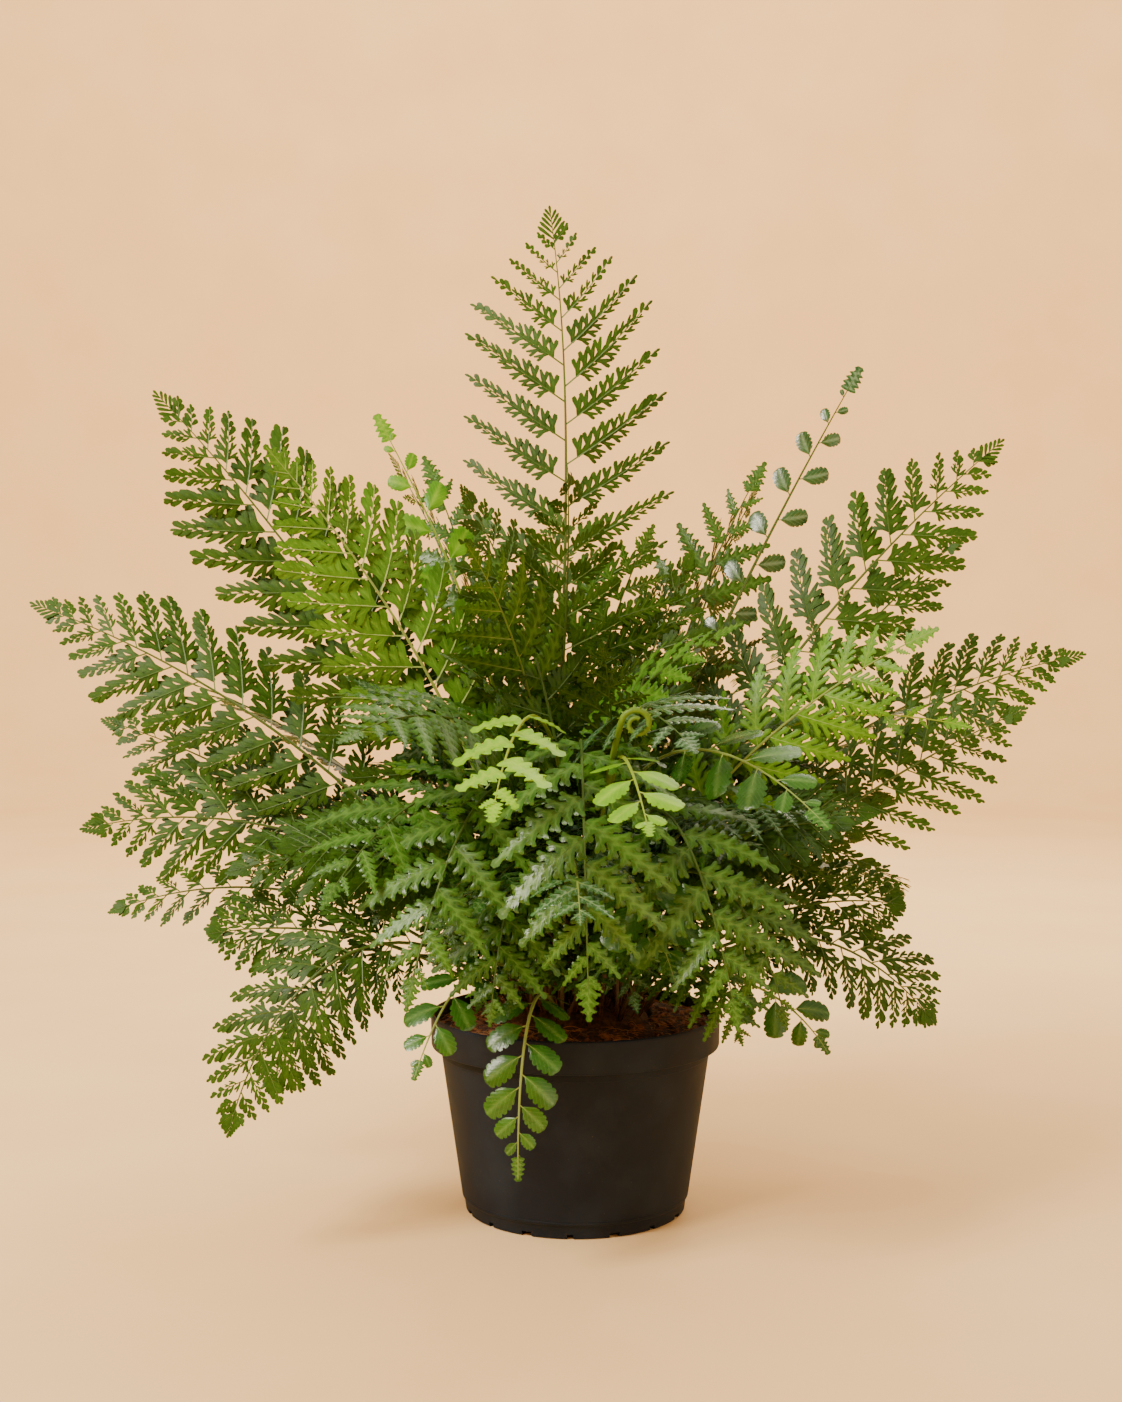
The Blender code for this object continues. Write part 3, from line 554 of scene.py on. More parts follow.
# %% The lobed leaflets
def lobed_leaf(name, lobes, wing, reach, base, swell, end, lean_foot, lean_tip, teeth=0.0):
    """A leaflet with pairs of lobes, each narrow at its base and broader towards its end.

    wing is half the midrib's wing, reach the longest lobe, base the lobe's width where it leaves the
    wing, as a share of the room it has, and swell how much broader it gets.
    """
    rows = 2 * lobes
    widths = [wing * (0.50 + 0.50 * math.sin(math.pi * (0.20 + 0.70 * n / rows))) for n in range(rows + 1)]
    strip = leaf_strip(name, widths)
    for lobe in range(lobes):
        edges = (2 * lobe, 2 * lobe + 1)
        x = (2 * lobe + 1) / rows
        long = reach * min(1.0, 0.70 + 1.3 * x) * (1.06 - x) ** 0.7
        for side in (1, -1):
            lean = side * math.radians(lean_foot + (lean_tip - lean_foot) * x)
            turn = lean - side * math.pi / 2
            spots = [((n + 0.5) / rows, side * (widths[n] + widths[n + 1]) / 2) for n in edges]
            steps = [(0.40 * long, base, turn * 0.7), (0.38 * long, swell, turn * 0.3)]
            if not teeth:
                steps.append((0.20 * long, 0.62, 0))
            pull_lobe(strip, spots, lean, steps, teeth * long)
    tip = [(1.0, widths[-1] / 2), (1.0, -widths[-1] / 2)]
    pull_lobe(strip, tip, 0.0, ((0.45 * end, 1.6, 0), (0.5 * end, 0.5, 0)))
    return Blank(strip, flat=True)


lobed = lobed_leaf("lobed", 6, 0.048, 0.225, 0.50, 1.50, 0.12, 54, 32, 0.17)
lobed_long = lobed_leaf("lobed_long", 7, 0.042, 0.170, 0.50, 1.50, 0.10, 52, 30, 0.17)
short_lobed = lobed_leaf("short_lobed", 4, 0.068, 0.250, 0.54, 1.45, 0.16, 54, 34, 0.17)
fingered = lobed_leaf("fingered", 7, 0.032, 0.240, 0.42, 1.25, 0.10, 46, 26)
petalled = lobed_leaf("petalled", 5, 0.022, 0.230, 0.36, 1.95, 0.16, 56, 38)
young_lobed = lobed_leaf("young_lobed", 4, 0.135, 0.105, 0.92, 0.92, 0.22, 62, 40)

# %% [markdown]
# ### Rounded leaflets
# A few fronds carry glossy leaflets that are wedge-shaped at the stalk and broad at the end, with a
# smooth lower edge and a scalloped upper and outer edge. The strip gets four rows to each scallop,
# and the row at each notch moves in.

# %% The scalloped leaflet
SCALLOPS = 6


def rounded_half(t):
    """Half the width of a rounded leaflet at t along it: a wedge that ends in a blunt oval."""
    oval = max(0.0, 1 - abs(2 * t**1.25 - 1) ** 2.5) ** 0.5
    return 0.34 * oval * min(1.0, (t + 0.02) / 0.34) ** 0.55 + 0.02


rows = 4 * SCALLOPS
scallop_piece = leaf_strip("scalloped", [rounded_half(n / rows) for n in range(rows + 1)], 4)
for n in range(1, rows):
    place = n / rows
    notch = n % 4 == 0
    edge = 0.9 * rounded_half(place)
    rise = 0.030 * abs(math.sin(math.pi * n / 4)) ** 0.7 - (0.050 if notch else 0.0)
    pick(scallop_piece, "VERT", lambda p: abs(p.x - place) < 0.004 and p.y > edge)
    bpy.ops.transform.translate(value=(-0.010 if notch else 0.0, rise * min(1.0, place / 0.25), 0))
    if place > 0.45:
        pick(scallop_piece, "VERT", lambda p: abs(p.x - place) < 0.004 and p.y < -edge)
        bpy.ops.transform.translate(value=(-0.008 if notch else 0.0, -0.75 * rise, 0))
scalloped = Blank(scallop_piece, flat=True, half_way=True)

# %% [markdown]
# ### Stems and axes
# Stems are round and taper all the way. A cone with a few sides, cut across so that it can bend,
# serves for the thin axis of a leaflet, and a finer one for the main stem.

# %% The twig and the stem
def rod(name, sides, tip, cuts):
    """A rod of radius 1 from the origin to 1 along X, narrowing to the tip radius."""
    piece = begin_shape(
        name,
        bpy.ops.mesh.primitive_cone_add,
        vertices=sides,
        radius1=1,
        radius2=tip,
        depth=1,
        location=(0.5, 0, 0),
        rotation=(0, math.pi / 2, 0),
    )
    pick(piece, "EDGE", lambda p: 0.1 < p.x < 0.9)
    bpy.ops.mesh.subdivide(number_cuts=cuts)
    return Blank(piece)


twig = rod("twig", 3, 0.45, 3)
stem = rod("stem", 6, 0.98, 26)

# %% [markdown]
# ## Growing the fronds
# A frond is first laid out flat: the stem, then each leaflet with its lobes or pinnules, all as
# copies of the blanks. Only then is the whole sheet arched along the frond's line, so the parts
# stay joined. Each leaflet leans, bows and twists a little differently, from a seeded draw. The
# real fronds have more leaflets than the plain CAD ones, so new ones fill the steps between, and
# take their length and lift from the plain ones beside them.

# %% More leaflets in the same outline
def fill_out(frond, factor, room):
    """Leaflets in the CAD frond's outline, with the factor times as many pairs."""
    pairs = round(frond.pairs * factor)
    leaves = [Leaflet(frond, n, pairs, room) for n in range(2 * pairs)]
    for leaf in leaves:
        row = [plain for plain in frond.plain if plain.side == leaf.side]
        x = [plain.x for plain in row]
        leaf.share = float(np.interp(leaf.x, x, [plain.share for plain in row]))
        leaf.lift = float(np.interp(leaf.x, x, [plain.lift for plain in row]))
    return leaves


# %% A flat sheet that collects copies
BLADE, UNDERSIDE, STEM = 0, 1, 2  # places of the materials on a frond


class Copies:
    """Copies of blanks, collected for one mesh."""

    def __init__(self):
        self.places, self.faces, self.tone, self.count = [], [], [], 0

    def put(self, blank, places, tone, step=1):
        """Adds a copy of the blank with its corners at the places; step -1 turns its faces over."""
        self.places.append(places)
        self.faces += [tuple(corner + self.count for corner in face[::step]) for face in blank.faces]
        self.tone.append(np.full(len(places), tone))
        self.count += len(places)


class Sheet(Copies):
    """Copies of blanks on the flat blade of one frond, with what its materials need."""

    def __init__(self):
        super().__init__()
        self.margin, self.skin, self.veins = [], [], []

    def lay(self, blank, places, tone, mirrored, size=(1.0, 1.0), skin=BLADE):
        """Adds a copy of the blank at places (along, across, lift).

        The size, length and half width in millimetres, measures the copy for the vein pattern.
        """
        self.put(blank, np.stack(places, axis=1), tone, -1 if mirrored else 1)
        self.skin += [UNDERSIDE if skin == BLADE and under else skin for under in blank.under]
        self.margin.append(blank.margin)
        self.veins.append(blank.points * (*size, 0))


def lay_axis(sheet, leaf, radius, tone, reach=1.0):
    """The thin axis of a leaflet."""
    a, b, c = twig.points.T
    p = a * (leaf.long * leaf.share + leaf.edge) * reach
    places = leaf.place(p, b * radius + leaf.bow * p * p / leaf.long, c * radius)
    sheet.lay(twig, places, tone, leaf.side < 0, skin=STEM)


# %% Leaflets cut twice
THICK = 0.17  # half the thickness of a blade at its veins, in millimetres
LEAST = 3.6  # the shortest pinnule
FORK_FROM = 16  # a shorter leaflet has no forked pinnules


def lay_pinnule(sheet, leaf, blank, x, way, lean, reach, wide, tone):
    """One pinnule on a leaflet's axis, at x along it; it curves a little towards the axis's tip."""
    a, b, c = blank.points.T
    sine, cosine = math.sin(lean), math.cos(lean)
    out = a * sine - 0.10 * a * a * cosine
    hook = a * cosine + 0.10 * a * a * sine
    p = leaf.edge + x + reach * hook + wide * b * sine
    h = way * (reach * out - wide * b * cosine)
    lift = leaf.twist * h + leaf.cup * abs(h) + THICK * c - 0.012 * reach * reach * a * a
    places = leaf.place(p, h + leaf.bow * p * p / leaf.long, lift)
    sheet.lay(blank, places, tone, way * leaf.side > 0, (reach, wide))


def lace_leaflet(sheet, leaf, draw, tone, bold):
    """An axis with two rows of pinnules that shorten towards its tip; the lowest ones are forked."""
    long = leaf.long * leaf.share
    half = max(LEAST, 0.5 * leaf.wide * leaf.share) * bold
    pitch = 3.0 + 3.2 * min(1.0, long / 60)
    count = max(2, round(0.88 * long / pitch))
    lay_axis(sheet, leaf, 0.34 + 0.004 * long, tone)
    for n in range(2 * count):
        way = 1 if n % 2 == 0 else -1
        x = 0.10 + 0.84 * (n + draw.uniform(0.1, 0.5)) / (2 * count)
        lean = math.radians(52 - 24 * x + draw.uniform(-6, 6))
        reach = half * (1.12 if way > 0 else 0.86) * min(1.0, 0.86 + 1.2 * x) * (1.04 - x) ** 0.62
        reach = max(LEAST, reach / math.sin(lean)) * draw.uniform(0.88, 1.08)
        shade = tone + draw.uniform(-0.12, 0.12) + 0.12 * x
        fork = x + draw.uniform(-0.08, 0.08) - 0.006 * (long - 40)
        blank, stretch, wide = pinnule, 1.0, 0.84 + 0.12 * reach
        if fork < 0.60 and long > FORK_FROM:
            blank, wide = two_fingers, 0.36 * reach
        if fork < 0.30 and long > FORK_FROM:
            blank, stretch, wide = three_fingers, 1.05, 0.46 * reach
        lay_pinnule(sheet, leaf, blank, x * long, way, lean, reach * stretch, wide, shade)
    lay_pinnule(sheet, leaf, pinnule, 0.93 * long, 1, 0.0, max(3.8, 0.09 * long), 0.85, tone + 0.1)


# %% Leaflets of one blade
def blade_leaflet(sheet, leaf, blank, tone, ridge, stalk=0.0):
    """One blank on its midrib, with its lobes raised between the veins."""
    long = leaf.long * leaf.share
    half = 0.5 * leaf.wide * leaf.share
    a, b, c = blank.points.T
    p = leaf.edge + stalk + (long - stalk) * a
    h = half * b
    lift = leaf.twist * h + leaf.cup * abs(h) + THICK * c
    lift += ridge * half * (1 - blank.margin) * np.minimum(abs(b) * 3, 1)
    places = leaf.place(p, h + leaf.bow * p * p / leaf.long, lift)
    sheet.lay(blank, places, tone, leaf.side < 0, (long - stalk, half))
    lay_axis(sheet, leaf, 0.30 + 0.004 * long, tone, 0.82)


# %% The tip of a frond
def lay_tip(sheet, frond, blank, tone):
    """The frond's last leaflet, or the small pinnules that a lacy blade ends in."""
    first = frond.bare * frond.length
    start = frond.length - (frond.length - first) * TERMINAL
    if frond.kind != "lace":
        a, b, c = blank.points.T
        long = 0.5 * frond.half * (1 if frond.kind == "round" else 0.6)
        long = max(1.6 * (frond.length - start), long)
        places = frond.length - long * (1 - a), b * long * 0.30, THICK * c
        sheet.lay(blank, places, tone, True, (long, 0.30 * long))
        return
    a, b, c = pinnule.points.T
    count = 5
    for n in range(2 * count + 1):
        way = 1 if n % 2 == 0 else -1
        x = n / (2 * count)
        lean = math.radians(46 - 18 * x) if n < 2 * count else 0.0
        reach = (0.16 * frond.half + 1.6) * (1 - 0.60 * x)
        wide = 1.20 - 0.35 * x
        root = start - 3 + (frond.length - start - 2.4 + 3) * x
        s = root + reach * a * math.cos(lean) + wide * b * math.sin(lean)
        v = way * (reach * a * math.sin(lean) - wide * b * math.cos(lean))
        sheet.lay(pinnule, (s, v, THICK * c), tone + 0.15, way < 0, (reach, wide))


# %% Make a frond's mesh
def make_frond(name, frond, sheet, materials):
    """The sheet, arched along the frond, as an object with a material for blade, back and stem."""
    places = frond.spread(*np.concatenate(sheet.places).T)
    values = {"tone": sheet.tone, "margin": sheet.margin}
    piece = new_piece(name, places, sheet.faces, values, materials)
    layer = piece.data.attributes.new("veins", "FLOAT_VECTOR", "POINT")
    layer.data.foreach_set("vector", np.concatenate(sheet.veins).astype(np.float32).ravel())
    piece.data.polygons.foreach_set("material_index", np.array(sheet.skin, np.int32))
    smooth(piece, 50)
    return piece


# %% [markdown]
# ## Materials
# Every finish starts from what the real thing is. Colours are written as sRGB hex values, the way
# a colour picker shows them, and one function turns them into the linear values that Blender
# mixes. A small class holds a material's node tree and has a short way to add each kind of node.

# %% Colours and nodes
def colour(code):
    """A hex sRGB colour as a linear one."""
    parts = [int(code[n : n + 2], 16) / 255 for n in (0, 2, 4)]
    return (*[p / 12.92 if p < 0.04045 else ((p + 0.055) / 1.055) ** 2.4 for p in parts], 1.0)


class Finish:
    """A material with its shader, and a short way to add each kind of node that feeds it."""

    def __init__(self, name, roughness, ior):
        self.material = bpy.data.materials.new(name)
        self.material.use_nodes = True
        self.tree = self.material.node_tree
        self.shader = self.tree.nodes["Principled BSDF"]
        self.feed(self.shader, {"Roughness": roughness, "IOR": ior})
        self.place = self.add("TexCoord").outputs["Object"]

    def feed(self, node, feeds):
        """Sets the node's sockets to values, or links other nodes to them."""
        for key, value in feeds.items():
            if isinstance(value, bpy.types.NodeSocket):
                self.tree.links.new(value, node.inputs[key])
            else:
                node.inputs[key].default_value = value

    def add(self, kind, feeds=None, **settings):
        """Adds a node; feeds are for its sockets, settings are its properties."""
        node = self.tree.nodes.new("ShaderNode" + kind)
        for key, value in settings.items():
            setattr(node, key, value)
        self.feed(node, feeds or {})
        return node

    def carried(self, key, output="Fac"):
        """A value that the mesh carries at its corners."""
        return self.add("Attribute", attribute_name=key).outputs[output]

    def cloud(self, size, detail):
        """Noise with lumps of this size in millimetres."""
        feeds = {"Vector": self.place, "Scale": 1000 / size, "Detail": detail}
        return self.add("TexNoise", feeds).outputs["Fac"]

    def spread(self, value, low, high, first=0.0, last=1.0):
        """The value's range from low to high, spread from first to last."""
        return self.add("MapRange", {"Value": value, 1: low, 2: high, 3: first, 4: last}).outputs[0]

    def maths(self, operation, *values, clamp=False):
        """A sum on up to three values."""
        feeds = dict(enumerate(values))
        return self.add("Math", feeds, operation=operation, use_clamp=clamp).outputs[0]

    def mix(self, share, *colours):
        """Two colours, as hex codes or from nodes, mixed by the share."""
        first, second = [colour(c) if isinstance(c, str) else c for c in colours]
        return self.add("Mix", {0: share, 6: first, 7: second}, data_type="RGBA").outputs[2]

    def close(self, feeds, height, strength, distance):
        """Ends in the shader, with the height as a bump over it, and returns the material."""
        bump = self.add("Bump", {"Height": height, "Strength": strength, "Distance": distance})
        self.feed(self.shader, {**feeds, "Normal": bump.outputs[0]})
        return self.material


# %% [markdown]
# ### Leaf blades
# A fern's blade is a waxy skin over green tissue. Up close its colour changes from leaflet to
# leaflet, the veins are paler lines, and the skin gives a soft, broken gloss. The tone value that
# every copy of a blank carries picks a colour between a deep and a light green, and the margin value
# draws the main veins. The fine side veins leave the middle at a sharp angle, one to every 1.6 mm.
# They follow each leaflet's own millimetres, which the veins attribute carries: along it in X and
# across it in Y.

# %% Leaf materials
VEIN_PITCH = 1.6  # millimetres between two side veins


def lamina(name, deep, light, vein, roughness, vein_strength, specular=0.35):
    """Fern leaf tissue with a waxy skin: two greens, paler veins, soft gloss."""
    finish = Finish(name, roughness, 1.42)
    patch = finish.cloud(9.0, 3.0)
    drift = finish.spread(patch, 0.3, 0.7, -0.22, 0.22)
    green = finish.mix(finish.maths("ADD", finish.carried("tone"), drift, clamp=True), deep, light)
    axes = finish.add("SeparateXYZ", {0: finish.carried("veins", "Vector")}).outputs
    across = finish.maths("ABSOLUTE", axes["Y"])
    wave = finish.maths("PINGPONG", finish.maths("MULTIPLY_ADD", across, -1.3, axes["X"]), VEIN_PITCH)
    side_vein = finish.spread(wave, 0.0, 0.45, 1.0, 0.0)
    line = finish.spread(finish.carried("margin"), 0.0, 0.34, 1.0, 0.0)
    ribs = finish.maths("MULTIPLY_ADD", side_vein, 0.45, line)
    pale = finish.maths("MULTIPLY", ribs, vein_strength, clamp=True)
    height = finish.maths("MULTIPLY_ADD", ribs, -0.9, finish.cloud(1.1, 2.0))
    gloss = finish.spread(patch, 0.3, 0.7, roughness - 0.07, roughness + 0.10)
    skin = {"Base Color": finish.mix(pale, green, vein), "Roughness": gloss}
    return finish.close({**skin, "Specular IOR Level": specular}, height, 0.3, 0.0002)


lace_green = lamina("fern_blade_dark_green", "163008", "355a0c", "55802c", 0.46, 0.18, 0.25)
mid_green = lamina("fern_blade_mid_green", "153808", "3a6c10", "7aa44a", 0.32, 0.25, 0.5)
light_green = lamina("fern_blade_light_green", "244c08", "4c8012", "80ac40", 0.42, 0.22, 0.35)
bright_green = lamina("fern_blade_bright_green", "2e5e08", "5a9210", "8eba3e", 0.40, 0.22, 0.35)
blue_green = lamina("fern_blade_blue_green", "143816", "2f6426", "a4c4a0", 0.26, 0.30, 0.8)
glossy_green = lamina("fern_blade_glossy", "133a0c", "346a18", "7ca45a", 0.24, 0.28, 0.6)
young_green = lamina("fern_blade_young_lime", "3f7c06", "7fb80c", "b4d83c", 0.34, 0.22, 0.4)
under_green = lamina("fern_blade_underside", "223c0a", "406218", "688640", 0.58, 0.22, 0.2)

# %% [markdown]
# ### Stems
# Stems are green and smooth near the blade and turn brown, with a rough bark-like skin, near the rhizome.
# The change of colour follows the distance from the crown, measured in Object coordinates.

# %% Stem material
def stem_skin(name, green, pale):
    """Fern stipe: brown at its foot, green further up."""
    finish = Finish(name, 0.5, 1.45)
    middle = {0: finish.place, 1: (0.0, 0.0, 0.118)}
    from_crown = finish.add("VectorMath", middle, operation="DISTANCE").outputs["Value"]
    far = finish.maths("MULTIPLY_ADD", finish.cloud(6.0, 4.0), 0.035, from_crown)
    skin = finish.mix(finish.carried("tone"), green, pale)
    whole = finish.mix(finish.spread(far, 0.055, 0.105), "4b3320", skin)
    return finish.close({"Base Color": whole}, finish.cloud(1.2, 3.0), 0.5, 0.0003)


stem_green = stem_skin("fern_stipe_green", "2a4612", "4e6f24")
stem_pale = stem_skin("fern_stipe_pale", "5d7c2c", "8fa858")
stem_lime = stem_skin("fern_stipe_lime", "6d8f1e", "93b033")

# %% [markdown]
# ## Dressing every frond
# The kinds differ in the shape of their leaflets and in their green. A short table names the
# fronds that look unlike their kind; the rest follow the kind alone. Each finished frond replaces
# its CAD node and rides on the same body.

# %% The look of each frond
LOOKS = {
    "lace": ("lace", lace_green, stem_green, 0.45, "dark_frond"),
    "broad": ("lobed", mid_green, stem_green, 0.45, "green_frond"),
    "round": ("scalloped", glossy_green, stem_pale, 0.5, "glossy_frond"),
    "bright_right": ("fingered", bright_green, stem_pale, 0.5, "green_frond"),
    "light_left": ("lace", light_green, stem_pale, 0.5, "green_frond"),
    "young_right": ("fingered", bright_green, stem_lime, 0.8, "green_frond"),
    "top_centre": ("lobed", light_green, stem_pale, 0.3, "green_frond"),
    "top_centre2": ("fingered", mid_green, stem_green, 0.3, "green_frond"),
    "blue_centre": ("fingered", blue_green, stem_green, 0.2, "green_frond"),
    "under_mid": ("lobed", blue_green, stem_pale, 0.6, "green_frond"),
    "slender": ("scalloped", blue_green, stem_green, 0.3, "glossy_frond"),
    "lobed_left": ("scalloped", young_green, stem_lime, 0.0, "young_frond"),
    "young_left": ("young", young_green, stem_lime, 0.6, "young_frond"),
    "young_mid": ("scalloped", young_green, stem_lime, 0.4, "young_frond"),
    "dark_centre": ("petalled", glossy_green, stem_green, 0.1, "glossy_frond"),
}
BLANKS = {
    "lobed": lobed,
    "short": short_lobed,
    "fingered": fingered,
    "petalled": petalled,
    "young": young_lobed,
    "scalloped": scalloped,
}
RIDGE = {"lobed": 0.12, "short": 0.12, "fingered": 0.06, "petalled": 0.08, "young": 0.08, "scalloped": 0.10}
FACTOR = {"lace": (1.25, 1.3), "broad": (1.22, 1.75), "round": (1.0, 1.1)}  # more pairs, and their room
LACE_PAIRS = {"tall": 1.0, "upper_left": 1.15, "upper_right": 1.15, "right_spray": 1.15, "light_left": 1.6}
BOLD = {"tall": 0.80, "right_spray": 1.0, "light_left": 1.1}  # how broad a lacy leaflet is cut
USUAL_BOLD = 1.35
SHORT_LEAF, LONG_LEAF = 24, 44  # millimetres; a short leaflet has fewer lobes, a long one more


def choose(style, long):
    """The blank for a leaflet of this style and length."""
    if style in ("lobed", "fingered") and long < SHORT_LEAF:
        return short_lobed
    return lobed_long if style == "lobed" and long > LONG_LEAF else BLANKS[style]


def grow(frond, look, factor, room):
    """Lays out one frond's stem and leaflets and arches them along its line."""
    style, blade, stem_finish, tone, slot = look
    draw = random.Random(frond.name)
    sheet = Sheet()
    a, b, c = stem.points.T
    radius = frond.midrib(a * frond.length) * (1 - 0.5 * a**6)
    sheet.lay(stem, (a * (frond.length - 1.5), b * radius, c * radius), tone, True, skin=STEM)
    for leaf in fill_out(frond, factor, room):
        leaf.bow = draw.uniform(0.02, 0.10)
        leaf.twist = draw.uniform(-0.16, 0.16)
        leaf.cup = draw.uniform(-0.12, 0.10)
        shade = tone + 0.25 * leaf.x + draw.uniform(-0.12, 0.12)
        if style == "lace":
            lace_leaflet(sheet, leaf, draw, shade, BOLD.get(frond.name, USUAL_BOLD))
            continue
        stalk = 0.08 * leaf.long * leaf.share if style == "scalloped" else 0.0
        blank = choose(style, leaf.long * leaf.share)
        blade_leaflet(sheet, leaf, blank, shade, RIDGE[style], stalk)
    lay_tip(sheet, frond, young_lobed if frond.kind == "round" else short_lobed, tone + 0.2)
    back = under_green if slot != "young_frond" else blade
    piece = make_frond(frond.name + "_frond", frond, sheet, (blade, back, stem_finish))
    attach(piece, "root")
    piece.data.calc_loop_triangles()
    return piece


triangles = 0
for frond in fronds:
    factor, room = FACTOR[frond.kind]
    factor = LACE_PAIRS.get(frond.name, factor)
    piece = grow(frond, LOOKS.get(frond.name, LOOKS[frond.kind]), factor, room)
    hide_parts(frond.name)
    triangles += len(piece.data.loop_triangles)
print(len(fronds), "fronds dressed,", triangles, "triangles")

# %% [markdown]
# ## Fronds inside the tangle
# Between the fronds that make the plant's outline, a real clump is full of shorter ones, so dense
# that one can't see through it. They stay inside the outline: rings of short fronds, spread evenly
# round the crown with a little chance, from an apron over the pot's rim up to the middle of the
# clump, and on the left, the right and behind.

# %% Short fronds in rings: name, number, azimuths, reach, height, arch, turn, half, pairs, kind, bare
RINGS = [
    ("apron", 9, 195, 345, 128, 168, 72, 0.55, 40, 9, "broad", 0.36),
    ("low", 12, 20, 380, 165, 236, 52, 0.30, 40, 10, "broad", 0.34),
    ("mid", 10, 40, 400, 135, 318, 36, 0.45, 42, 10, "broad", 0.34),
    ("high", 6, 60, 420, 85, 392, 22, 0.50, 38, 10, "lace", 0.40),
    ("skirt", 7, 205, 335, 112, 140, 62, 0.50, 32, 8, "broad", 0.26),
    ("back", 5, 40, 140, 150, 190, 52, 0.35, 40, 9, "broad", 0.34),
    ("left", 5, 150, 215, 205, 225, 40, 0.60, 40, 11, "lace", 0.34),
    ("right", 5, -30, 30, 195, 235, 40, 0.60, 40, 11, "lace", 0.34),
]


def short_frond(ring, n):
    """The n-th short frond of a ring."""
    name, number, first, last, reach, height, arch, turn, half, pairs, kind, bare = ring
    draw = random.Random(name + str(n))
    azimuth = math.radians(first + (last - first) * (n + draw.uniform(0.3, 0.7)) / number)
    away = reach * draw.uniform(0.84, 1.10)
    tip = (away * math.cos(azimuth), away * math.sin(azimuth), height * draw.uniform(0.90, 1.10))
    lean = turn if math.sin(azimuth) < 0 else -turn
    frond = Frond((f"inner_{name}_{n + 1}", tip, arch, lean, half, pairs, kind, bare), 400 + n)
    frond.bend(0)
    frond.lay(FEET[(7 * n + number) % len(FEET)])
    frond.plain = [Leaflet(frond, k, pairs) for k in range(2 * pairs)]
    for leaf, lift in zip(frond.plain, frond.lifts):
        leaf.lift = lift
    return frond


inner = 0
for ring in RINGS:
    for n in range(ring[1]):
        frond = short_frond(ring, n)
        style, blade, stem_finish, tone, slot = LOOKS[frond.kind]
        if frond.kind == "broad" and n % 3 == 1:
            blade = light_green if n % 2 else blue_green
        if style == "lobed":
            style = "petalled" if n % 4 == 2 else "short"
        look = (style, blade, stem_finish, tone - 0.15, slot)
        piece = grow(frond, look, 1.0, 1.7 if frond.kind == "broad" else 1.3)
        inner += len(piece.data.loop_triangles)
print(sum(ring[1] for ring in RINGS), "short fronds,", inner, "triangles")

# %% [markdown]
# ## The pot
# A nursery pot is moulded in one shot from black polypropylene: a tapered wall, a banded rim that
# stiffens it, a foot that steps in, and small slots round the foot that let water out. It could be
# spun from a profile. Here it is pulled up from a flat disc ring by ring, as it would be drawn on
# a wheel, because each ring can then be checked against the CAD profile.

# %% Pull up a round wall
def pull_up(name, sides, rings):
    """A disc at the first (radius, height), pulled through every following ring; closed at the end."""
    radius, height = rings[0]
    piece = begin_shape(
        name,
        bpy.ops.mesh.primitive_circle_add,
        vertices=sides,
        radius=radius * MM,
        fill_type="NGON",
        location=(0, 0, height * MM),
    )
    pick(piece, "EDGE", lambda p: True)
    for wide, high in rings[1:]:
        bpy.ops.mesh.extrude_edges_move(TRANSFORM_OT_translate={"value": (0, 0, (high - height) * MM)})
        factor = wide / radius
        bpy.ops.transform.resize(value=(factor, factor, 1), center_override=(0, 0, high * MM))
        radius, height = wide, high
    bpy.ops.mesh.edge_face_add()
    bpy.ops.mesh.select_all(action="SELECT")
    bpy.ops.mesh.normals_make_consistent(inside=False)
    bpy.ops.object.mode_set(mode="OBJECT")
    return piece


POT_PROFILE = [  # radius and height, up the outside and down the inside
    (62.0, 0.0), (63.9, 0.0), (64.5, 0.5), (65.4, 7.0), (65.75, 7.5), (66.3, 7.9), (66.6, 8.5),
    (66.75, 9.5), (66.5, 9.8), (66.85, 10.1), (78.6, 91.2), (78.95, 91.5), (78.95, 92.1),
    (79.2, 95.4), (79.8, 96.0), (83.6, 96.3), (84.3, 96.7), (84.6, 97.6), (84.9, 112.2),
    (85.0, 113.4), (84.8, 114.3), (84.2, 114.85), (83.5, 115.0), (83.0, 114.8), (82.9, 114.2),
    (82.9, 99.5), (82.2, 98.9), (78.2, 98.0), (77.6, 97.0), (64.0, 4.0), (63.0, 1.9), (62.0, 1.6),
]
pot = pull_up("nursery_pot", 128, POT_PROFILE)
print("pot is", round(pot.dimensions.x / MM, 1), "mm across and", round(pot.dimensions.z / MM, 1), "mm high")

# %% [markdown]
# The drain slots are cut with one Boolean: sixteen small blocks stand round the foot, every second
# one wider, and are taken away from the wall together.

# %% Cut the drain slots
SLOTS = 16
FIRST_SLOT, SLOT_RADIUS = -138.0, 64.6  # degrees and millimetres
blocks = []
for n in range(SLOTS):
    turn = math.radians(FIRST_SLOT + n * 360 / SLOTS)
    wide = 6.0 if n % 2 else 3.5
    bpy.ops.object.select_all(action="DESELECT")
    bpy.ops.mesh.primitive_cube_add(
        size=1,
        location=(SLOT_RADIUS * MM * math.cos(turn), SLOT_RADIUS * MM * math.sin(turn), 0),
        rotation=(0, 0, turn),
        scale=(9.6 * MM, wide * MM, 5.2 * MM),
    )
    blocks.append(bpy.context.object)
for block in blocks:
    block.select_set(True)
bpy.ops.object.join()
blocks = bpy.context.object
only(pot)
cut = pot.modifiers.new("slots", "BOOLEAN")
cut.object = blocks
cut.operation = "DIFFERENCE"
cut.solver = "EXACT"
bpy.ops.object.modifier_apply(modifier=cut.name)
bpy.data.objects.remove(blocks)
smooth(pot, 28)
print("slots cut,", len(pot.data.polygons), "faces")

